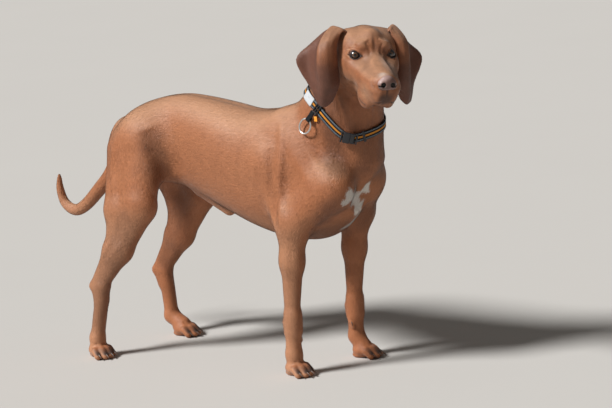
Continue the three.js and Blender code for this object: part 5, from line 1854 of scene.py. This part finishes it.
def coat_material(coat, name):
    paint = Paint(name)
    place = paint.place()
    white, dark, pale = paint.value("white"), paint.value("dark"), paint.value("pale")
    bare, ear, shade = paint.value("bare"), paint.value("ear"), paint.value("shade")
    broad = paint.noise(place, 6.0, 3.0)
    patch = paint.noise(place, 28.0, 4.0)
    height = paint.node("ShaderNodeSeparateXYZ", {}, {"Vector": place})["Z"]
    legs = 1 - height.above(0.26, 0.36)
    along = paint.noise(paint.stretched(place, (14, 210, 210)), 1.0, 4.0, 0.6)
    down = paint.noise(paint.stretched(place, (230, 230, 16)), 1.0, 4.0, 0.6)
    streak = along * (1 - legs) + down * legs
    red = paint.mix((broad - 0.35) * 1.6, tuple(coat.red), tuple(coat.light_red))
    red = paint.mix(patch.above(0.45, 0.75) * 0.35, red, tuple(coat.deep_red))
    # The pale share: the coat's own paler places and painted light.
    red = paint.mix(pale, red, tuple(coat.pale))
    red = paint.mix(ear.above(0.52, 0.92) * 0.9, red, tuple(coat.ear))
    red = paint.mix(white, red, tuple(coat.white))
    # The dark share: the coat's own dark places and painted shade.
    red = paint.mix(dark, red, tuple(coat.dark))
    red = paint.mix(bare, red, tuple(coat.pad))
    colour = paint.lit(red, 0.85 + streak * 0.30 + shade * coat.tuft_contrast)
    fine = paint.noise(place, 900.0, 2.0)
    relief = paint.bump(streak * 0.7 + fine * 0.3, 0.0012, 0.30)
    rough = 0.50 + patch * 0.12 + bare * 0.2 - dark * 0.06
    return paint.finish({
        "Base Color": colour, "Roughness": rough, "Normal": relief,
        "Sheen Weight": 0.12, "Sheen Roughness": 0.4, "Specular IOR Level": 0.42,
    })


def eye_material(eyes):
    paint = Paint("wet_eye")
    place = paint.place()
    polar = paint.value("polar")
    rays = paint.noise(place, 1500.0, 3.0, 0.7)
    # Beyond the iris a dark band for the limbus, partly painted shade under the lids; the white of the eye is
    # dark, partly as painted shade.
    ring = paint.node("ShaderNodeValToRGB", {"stops": [
        (0.0, (0.003, 0.003, 0.003)), (0.13, (0.003, 0.003, 0.003)), (0.16, tuple(eyes.iris_inner)),
        (0.235, tuple(eyes.iris_inner)), (0.29, tuple(eyes.iris_outer)), (0.33, (0.008, 0.005, 0.005)),
        (0.52, (0.014, 0.009, 0.010)), (0.68, tuple(eyes.white_of_eye)), (1.0, tuple(eyes.white_of_eye)),
    ]}, {"Fac": polar / 100.0})["Color"]
    colour = paint.lit(ring, 0.55 + rays * 0.9)
    return paint.finish({"Base Color": colour, "Roughness": 0.30 + rays * 0.05, "Coat Weight": 0.8,
                         "Coat Roughness": 0.11, "Specular IOR Level": 0.5})


def nose_material(coat):
    paint = Paint("nose_leather")
    place = paint.place()
    pebbles = paint.cells(place, 850.0)
    broad = paint.noise(place, 60.0, 3.0)
    # Paler patches at random, and the upper side paler as a painted reflection.
    pale = broad.above(0.45, 0.8) * 0.5 + paint.value("top")
    colour = paint.mix(pale, tuple(coat.nose), tuple(coat.nose_pale_and_reflection))
    # Painted shade in the cracks between the leather's pebbles and deep in the nostrils.
    colour = paint.lit(colour, (1.1 - pebbles * 0.3) * (1 - paint.value("hole") * 0.97))
    relief = paint.bump(1 - pebbles, 0.0005, 0.5)
    return paint.finish({"Base Color": colour, "Roughness": 0.42 + broad * 0.12, "Normal": relief,
                         "Coat Weight": 0.12, "Coat Roughness": 0.3})


def claw_material():
    paint = Paint("claw_horn")
    place = paint.place()
    grain = paint.noise(paint.stretched(place, (160, 900, 900)), 1.0, 3.0)
    colour = paint.mix(grain.above(0.35, 0.7), (0.055, 0.030, 0.022), (0.16, 0.09, 0.06))
    relief = paint.bump(grain, 0.0003, 0.5)
    return paint.finish({"Base Color": colour, "Roughness": 0.36 + grain * 0.12, "Normal": relief})


def whisker_material():
    paint = Paint("whisker_hair")
    tone = paint.noise(paint.place(), 120.0, 2.0)
    colour = paint.mix(tone.above(0.4, 0.6), (0.16, 0.08, 0.04), (0.34, 0.20, 0.12))
    return paint.finish({"Base Color": colour, "Roughness": 0.35})


def webbing_material(collar, name, stripe=True):
    paint = Paint(name)
    place = paint.place()
    across, along = paint.value("across"), paint.value("along")
    warp = (across * 4.6).wave()
    weft = (along * 5.2).wave()
    weave = warp * weft
    grime = paint.noise(place, 90.0, 4.0)
    threads = paint.noise(place, 1400.0, 2.0)
    colour = paint.mix(threads.above(0.45, 0.7), tuple(collar.black), tuple(collar.grey))
    if stripe:
        edge = across.size()
        line = 1 - edge.above(1.7, 2.2)
        ticks = (along * 2.1).wave().above(-0.2, 0.5)
        flecks = edge.above(5.2, 5.8) * (1 - edge.above(8.0, 8.6))
        flecks = flecks * (along * 3.6 + across * 2.2).wave().above(0.0, 0.5)
        colour = paint.mix(flecks * 0.75, colour, tuple(collar.thread))
        colour = paint.mix(line * (0.55 + ticks * 0.45), colour, tuple(collar.orange))
    colour = paint.lit(colour, 0.75 + weave * 0.14 + grime * 0.5)
    relief = paint.bump(weave, 0.0004, 0.7)
    return paint.finish({"Base Color": colour, "Roughness": 0.62 + grime * 0.2, "Normal": relief,
                         "Specular IOR Level": 0.25})


def sleeve_material(collar):
    paint = Paint("pale_sleeve")
    place = paint.place()
    across, along = paint.value("across"), paint.value("along")
    weave = (across * 7.0).wave() * (along * 7.0).wave()
    wear = paint.noise(place, 140.0, 4.0)
    colour = paint.lit(paint.mix(wear.above(0.5, 0.8), tuple(collar.sleeve), (0.50, 0.51, 0.52)),
                       0.95 + weave * 0.08)
    return paint.finish({"Base Color": colour, "Roughness": 0.55 + wear * 0.2,
                         "Normal": paint.bump(weave, 0.0003, 0.6)})


def plastic_material(collar):
    paint = Paint("moulded_plastic")
    place = paint.place()
    grain = paint.noise(place, 1600.0, 2.0)
    wear = paint.noise(place, 160.0, 4.0, 0.65)
    colour = paint.mix(wear.above(0.62, 0.8), tuple(collar.plastic), (0.07, 0.07, 0.075))
    return paint.finish({"Base Color": colour, "Roughness": 0.36 + wear * 0.18,
                         "Normal": paint.bump(grain, 0.0001, 0.4)})


def tag_material(collar):
    paint = Paint("orange_tag")
    place = paint.place()
    weave = paint.noise(place, 1300.0, 2.0)
    dirt = paint.noise(place, 260.0, 3.0)
    colour = paint.lit(paint.mix(dirt.above(0.6, 0.8), tuple(collar.orange), (0.25, 0.07, 0.02)),
                       0.85 + weave * 0.3)
    return paint.finish({"Base Color": colour, "Roughness": 0.6 + dirt * 0.1,
                         "Normal": paint.bump(weave, 0.0003, 0.5)})


def steel_material():
    paint = Paint("ring_steel")
    place = paint.place()
    brushed = paint.noise(place, 700.0, 4.0, 0.7)
    dull = paint.noise(place, 120.0, 3.0)
    colour = paint.mix(dull.above(0.5, 0.75), (0.72, 0.72, 0.71), (0.52, 0.51, 0.50))
    return paint.finish({"Base Color": colour, "Metallic": 1.0, "Roughness": 0.28 + dull * 0.2,
                         "Normal": paint.bump(brushed, 0.00008, 0.4)})


def floor_material(stage):
    paint = Paint("studio_floor")
    tone = paint.noise(paint.place(), 2.0, 2.0)
    colour = paint.lit(paint.mix(0.0, tuple(stage.floor), tuple(stage.floor)), 0.99 + tone * 0.02)
    return paint.finish({"Base Color": colour, "Roughness": 0.85 + tone * 0.05, "Specular IOR Level": 0.1})


# ------------------------------------------------------------------ settings

def colour_setting(name, description, default):
    return bpy.props.FloatVectorProperty(
        name=name, description=description, subtype="COLOR", size=3, min=0, max=1, default=default)


def length_setting(name, description, default):
    return bpy.props.FloatProperty(
        name=name, description=description, default=default, min=0.0001, unit="LENGTH", precision=4)


class HoundCoat(bpy.types.PropertyGroup):
    """Sizes and colours of the skin and coat."""

    skin_step: length_setting("Skin step", "Size of the skin's faces on the trunk", 0.0049)
    coat_depth: length_setting("Coat depth", "How far the skin lies under the tips of the coat", 0.0019)
    ear_thickness: length_setting("Ear thickness", "Thickness of an ear's leather", 0.0040)
    lid_thickness: length_setting("Lid thickness", "How far a lid stands off the eyeball", 0.0034)
    tuft_length: bpy.props.FloatProperty(
        name="Tuft length", description="Share of their usual length", default=1.0, min=0.2, max=2)
    tuft_share: bpy.props.FloatProperty(
        name="Tuft share", description="How many of the tufts are made", default=1.0, min=0.05, max=1.2)
    tuft_contrast: bpy.props.FloatProperty(
        name="Tuft contrast", description="How much one tuft differs from the next", default=0.035,
        min=0, max=0.5)
    red: colour_setting("Red", "Main colour of the coat", (0.355, 0.124, 0.048))
    light_red: colour_setting("Light red", "Sunnier parts of the coat", (0.435, 0.170, 0.074))
    deep_red: colour_setting("Deep red", "Deeper patches of the coat", (0.255, 0.082, 0.030))
    # The pale colour also serves as painted light on the flanks, belly, cheeks, lips and brows.
    pale: colour_setting("Pale", "Belly, inner legs and cheeks", (0.52, 0.27, 0.15))
    ear: colour_setting("Ears", "Colour of the ears", (0.125, 0.046, 0.029))
    white: colour_setting("White", "The blaze on the chest", (0.70, 0.63, 0.57))
    # The dark colour also serves as painted shade in hollows, creases and on parts turned from the lamp.
    dark: colour_setting("Dark", "Lips, muzzle and rims of the eyes", (0.030, 0.014, 0.010))
    pad: colour_setting("Pads", "Undersides of the feet", (0.045, 0.032, 0.028))
    nose: colour_setting("Nose", "Front and sides of the nose", (0.16, 0.080, 0.062))
    # The pale nose colour paints the sky's reflection on the nose's top, with paler patches.
    nose_pale_and_reflection: colour_setting("Pale nose", "Top of the nose", (0.46, 0.30, 0.27))


class HoundEyes(bpy.types.PropertyGroup):
    """Colours of the eyes."""

    iris_inner: colour_setting("Iris", "Colour of the iris round the pupil", (0.125, 0.058, 0.026))
    iris_outer: colour_setting("Iris edge", "Colour of the iris at its edge", (0.055, 0.026, 0.014))
    white_of_eye: colour_setting("White of the eye", "Colour beyond the iris", (0.11, 0.07, 0.065))


class HoundCollar(bpy.types.PropertyGroup):
    """Colours of the collar."""

    black: colour_setting("Black", "Ground of the webbing", (0.006, 0.007, 0.009))
    grey: colour_setting("Grey", "Lighter threads of the webbing", (0.016, 0.018, 0.022))
    orange: colour_setting("Orange", "Middle stripe and tag", (0.90, 0.34, 0.03))
    thread: colour_setting("Edge threads", "Bright threads by the edges", (0.40, 0.48, 0.56))
    sleeve: colour_setting("Sleeve", "Pale sleeve on the webbing", (0.62, 0.64, 0.66))
    plastic: colour_setting("Plastic", "Slider and buckle", (0.016, 0.016, 0.019))
    stitch: colour_setting("Stitches", "Thread of the stitches", (0.10, 0.105, 0.115))


class HoundStage(bpy.types.PropertyGroup):
    """The floor and the light."""

    floor: colour_setting("Floor", "Colour of the floor", (0.56, 0.54, 0.51))
    sky: bpy.props.FloatProperty(name="Sky", description="Strength of the even light", default=0.14, min=0)
    key: bpy.props.FloatProperty(name="Key lamp", description="Strength of the main lamp", default=4.6, min=0)
    softness: bpy.props.FloatProperty(name="Softness", description="How broad the main lamp looks",
                                      default=math.radians(14), min=0, unit="ROTATION")


# ------------------------------------------------------------------ operators

SHARED = {}
FLESH = ["head", "ear_right", "ear_left", "neck", "trunk_chest", "trunk_belly", "trunk_rump",
         "foreleg_right", "foreleg_left", "paw_fore_right", "paw_fore_left", "thigh_right", "thigh_left",
         "hock_right", "hock_left", "paw_hind_right", "paw_hind_left", "tail"]


class HOUND_OT_skin(bpy.types.Operator):
    """Make the skin that replaces the flesh solids"""

    bl_idname = "hound.skin"
    bl_label = "Skin"

    def execute(self, context):
        coat = context.scene.hound_coat
        mesh, points, normals, flow, ear = skin_mesh(coat)
        SHARED["coat"] = coat_material(coat, "short_red_coat")
        skin = new_piece("hound_skin", mesh, SHARED["coat"], FLESH)
        unwrap(skin)
        SHARED["source"] = SkinSource(mesh, points, normals, flow, ear)
        return {"FINISHED"}


def unwrap(piece):
    """Lays the piece out flat in a map of its own."""
    piece.data.uv_layers.new(name="OFBake")
    bpy.ops.object.select_all(action="DESELECT")
    piece.select_set(True)
    bpy.context.view_layer.objects.active = piece
    bpy.ops.object.mode_set(mode="EDIT")
    bpy.ops.mesh.select_all(action="SELECT")
    bpy.ops.uv.smart_project(angle_limit=1.15, island_margin=0.002)
    bpy.ops.object.mode_set(mode="OBJECT")
    piece.select_set(False)


class HOUND_OT_coat(bpy.types.Operator):
    """Lay the coat's tufts over the skin, one piece for each region"""

    bl_idname = "hound.coat"
    bl_label = "Coat"

    def execute(self, context):
        coat = context.scene.hound_coat
        for seed, (zone, count) in enumerate(COAT_SHARE.items()):
            mesh = tuft_mesh(f"coat_{zone}", SHARED["source"], zone, int(count * coat.tuft_share), coat,
                             seed + 11)
            new_piece(f"coat_{zone}", mesh, SHARED["coat"], ())
        return {"FINISHED"}


class HOUND_OT_face(bpy.types.Operator):
    """Make the eyes, the nose and the whiskers"""

    bl_idname = "hound.face"
    bl_label = "Eyes, nose and whiskers"

    def execute(self, context):
        coat = context.scene.hound_coat
        wet = eye_material(context.scene.hound_eyes)
        for name, side in SIDES.items():
            new_piece(f"eyeball_{name}", eye_mesh(f"eyeball_{name}", side), wet, [f"eye_{name}"])
        new_piece("nose_leather", nose_mesh(), nose_material(coat), ["nose"])
        new_piece("whiskers", whisker_mesh(), whisker_material(), ())
        return {"FINISHED"}


class HOUND_OT_claws(bpy.types.Operator):
    """Set a curved claw on every toe"""

    bl_idname = "hound.claws"
    bl_label = "Claws"

    def execute(self, context):
        places, grow, nodes = claw_places()
        horn = claw_material()
        mesh = repeated_mesh("claws", claw_shape(), places, grow, horn)
        new_piece("claws", mesh, horn, nodes)
        return {"FINISHED"}


class HOUND_OT_collar(bpy.types.Operator):
    """Make the collar's webbing, sleeve, slider, buckle and keeper with their stitches"""

    bl_idname = "hound.collar"
    bl_label = "Collar"

    def execute(self, context):
        collar = context.scene.hound_collar
        striped = webbing_material(collar, "striped_webbing")
        plastic = plastic_material(collar)
        strap = webbing(np.arange(-180, 180, 2.0), STRAP_WIDTH, STRAP_INNER, STRAP_OUTER, True)
        new_piece("collar_webbing", band_mesh("collar_webbing", *strap), striped, ["collar_strap"])
        sleeve = webbing(np.arange(-140, -113.5, 1.0), 21.0, 4.4, 5.8, False, ripple=0.22)
        new_piece("collar_pale_sleeve", band_mesh("collar_pale_sleeve", *sleeve), sleeve_material(collar),
                  ["collar_sleeve"])
        slider = bent_parts("collar_slider_frame", -101.5, 6.2, [
            ((14, 3.2, 3.2), (0, 11.4, 0), 1.1), ((14, 3.2, 3.2), (0, -11.4, 0), 1.1),
            ((2.8, 26, 3.2), (-5.6, 0, 0), 1.1), ((2.8, 26, 3.2), (5.6, 0, 0), 1.1),
            ((2.6, 25, 2.6), (0, 0, 0.2), 1.0)])
        new_piece("collar_slider_frame", slider, plastic, ["collar_slider"])
        buckle = bent_parts("collar_buckle_body", -46, 7.2, [
            ((15, 24.5, 5.0), (-6.0, 0, 0), 1.9), ((9, 20, 4.0), (5.6, 0, 0), 1.5),
            ((11, 4.6, 4.4), (7.4, 9.2, 0), 1.6), ((11, 4.6, 4.4), (7.4, -9.2, 0), 1.6),
            ((3.0, 24.0, 4.4), (15.4, 0, -0.2), 1.4), ((3.2, 24.5, 4.4), (-16.6, 0, -0.2), 1.4)])
        new_piece("collar_buckle_body", buckle, plastic, ["collar_buckle"])
        keeper = bent_parts("collar_keeper_band", -24, 5.9, [((5.2, 24.5, 2.2), (0, 0, 0), 0.9)])
        new_piece("collar_keeper_band", keeper, plastic, ["collar_keeper"])
        thread = stitch_material(collar)
        places = stitch_places()
        stitches = repeated_mesh("collar_stitches", stitch_shape(), places, np.ones(len(places)), thread)
        new_piece("collar_stitches", stitches, thread, ())
        return {"FINISHED"}


def stitch_material(collar):
    paint = Paint("stitch_thread")
    twist = paint.noise(paint.place(), 2400.0, 2.0)
    colour = paint.lit(paint.mix(0.0, tuple(collar.stitch), tuple(collar.stitch)), 0.7 + twist * 0.6)
    return paint.finish({"Base Color": colour, "Roughness": 0.6 + twist * 0.1})


class HOUND_OT_ring(bpy.types.Operator):
    """Make the steel ring, the folded loop that holds it and the small tag"""

    bl_idname = "hound.ring"
    bl_label = "Ring, loop and tag"

    def execute(self, context):
        collar = context.scene.hound_collar
        new_piece("collar_ring_steel", ring_mesh(), steel_material(), ["collar_ring"])
        new_piece("collar_loop_webbing", loop_mesh(), webbing_material(collar, "plain_webbing", False),
                  ["collar_loop"])
        new_piece("collar_tag_woven", tag_mesh(), tag_material(collar), ["collar_tag"])
        return {"FINISHED"}


class HOUND_OT_stage(bpy.types.Operator):
    """Lay the floor, hang the lamp and set the camera"""

    bl_idname = "hound.stage"
    bl_label = "Stage"

    def execute(self, context):
        stage = context.scene.hound_stage
        scene = context.scene
        mesh = bpy.data.meshes.new("studio_floor")
        mesh.from_pydata([(-40, -40, 0), (40, -40, 0), (40, 40, 0), (-40, 40, 0)], [], [(0, 1, 2, 3)])
        mesh.materials.append(floor_material(stage))
        floor = bpy.data.objects.new("studio_floor", mesh)
        scene.collection.objects.link(floor)

        back = view_direction()
        level_right = unit(np.cross(-back, vec(0, 0, 1)))
        level_up = np.cross(level_right, -back)
        roll = VIEW["roll"]
        right = level_right * math.cos(roll) - level_up * math.sin(roll)
        upward = level_up * math.cos(roll) + level_right * math.sin(roll)
        target = vec(*VIEW["target"]) + ORIGIN
        eye = target + back * VIEW["distance"]
        lens = bpy.data.cameras.new("camera")
        lens.lens = VIEW["lens"]
        lens.sensor_width = 36
        camera = bpy.data.objects.new("camera", lens)
        turned_rows = np.stack([right, upward, back], 1)
        camera.matrix_world = Matrix([(*row, at) for row, at in zip(turned_rows, eye)] + [(0, 0, 0, 1)])
        scene.collection.objects.link(camera)
        scene.camera = camera

        add_lamp("key", target - level_right * 3.1 + vec(0, 0, 2.9) + back * 1.35, target, stage)
        set_sky(stage)
        scene.view_settings.view_transform = "Standard"
        return {"FINISHED"}


def add_lamp(name, at, target, stage):
    """Broad, even light from one side, as from a large window far away."""
    lamp = bpy.data.lights.new(name, "SUN")
    lamp.angle = stage.softness
    lamp.energy = stage.key
    piece = bpy.data.objects.new(name, lamp)
    piece.location = Vector(at)
    piece.rotation_euler = Vector(at - target).to_track_quat("Z", "Y").to_euler()
    bpy.context.scene.collection.objects.link(piece)


def set_sky(stage):
    """Even light on the model, and a pale backdrop where the camera looks past it."""
    world = bpy.data.worlds.new("studio_sky")
    bpy.context.scene.world = world
    world.use_nodes = True
    nodes, links = world.node_tree.nodes, world.node_tree.links
    nodes.clear()
    end = nodes.new("ShaderNodeOutputWorld")
    light = nodes.new("ShaderNodeBackground")
    shown = nodes.new("ShaderNodeBackground")
    rays = nodes.new("ShaderNodeLightPath")
    both = nodes.new("ShaderNodeMixShader")
    light.inputs["Color"].default_value = (1.0, 0.96, 0.92, 1)
    light.inputs["Strength"].default_value = stage.sky
    shown.inputs["Color"].default_value = (0.93, 0.93, 0.93, 1)
    shown.inputs["Strength"].default_value = 1.0
    links.new(rays.outputs["Is Camera Ray"], both.inputs[0])
    links.new(light.outputs[0], both.inputs[1])
    links.new(shown.outputs[0], both.inputs[2])
    links.new(both.outputs[0], end.inputs["Surface"])


class HOUND_PT_panel(bpy.types.Panel):
    """Shows the hound's settings and a button for each step"""

    bl_label = "Standing hound"
    bl_idname = "HOUND_PT_panel"
    bl_space_type = "VIEW_3D"
    bl_region_type = "UI"
    bl_category = "Hound"

    def draw(self, context):
        for group in ("hound_coat", "hound_eyes", "hound_collar", "hound_stage"):
            settings = getattr(context.scene, group)
            box = self.layout.box()
            for key in settings.__annotations__:
                box.prop(settings, key)
        for step in STEPS:
            self.layout.operator(f"hound.{step}")


STEPS = ("skin", "coat", "face", "claws", "collar", "ring", "stage")
GROUPS = {"hound_coat": HoundCoat, "hound_eyes": HoundEyes, "hound_collar": HoundCollar,
          "hound_stage": HoundStage}
CLASSES = (*GROUPS.values(), HOUND_OT_skin, HOUND_OT_coat, HOUND_OT_face, HOUND_OT_claws,
           HOUND_OT_collar, HOUND_OT_ring, HOUND_OT_stage, HOUND_PT_panel)


def register():
    for kind in CLASSES:
        bpy.utils.register_class(kind)
    for key, group in GROUPS.items():
        setattr(bpy.types.Scene, key, bpy.props.PointerProperty(type=group))


def unregister():
    for key in GROUPS:
        delattr(bpy.types.Scene, key)
    for kind in reversed(CLASSES):
        bpy.utils.unregister_class(kind)


def main():
    register()
    for step in STEPS:
        getattr(bpy.ops.hound, step)()


if __name__ == "__main__":
    main()
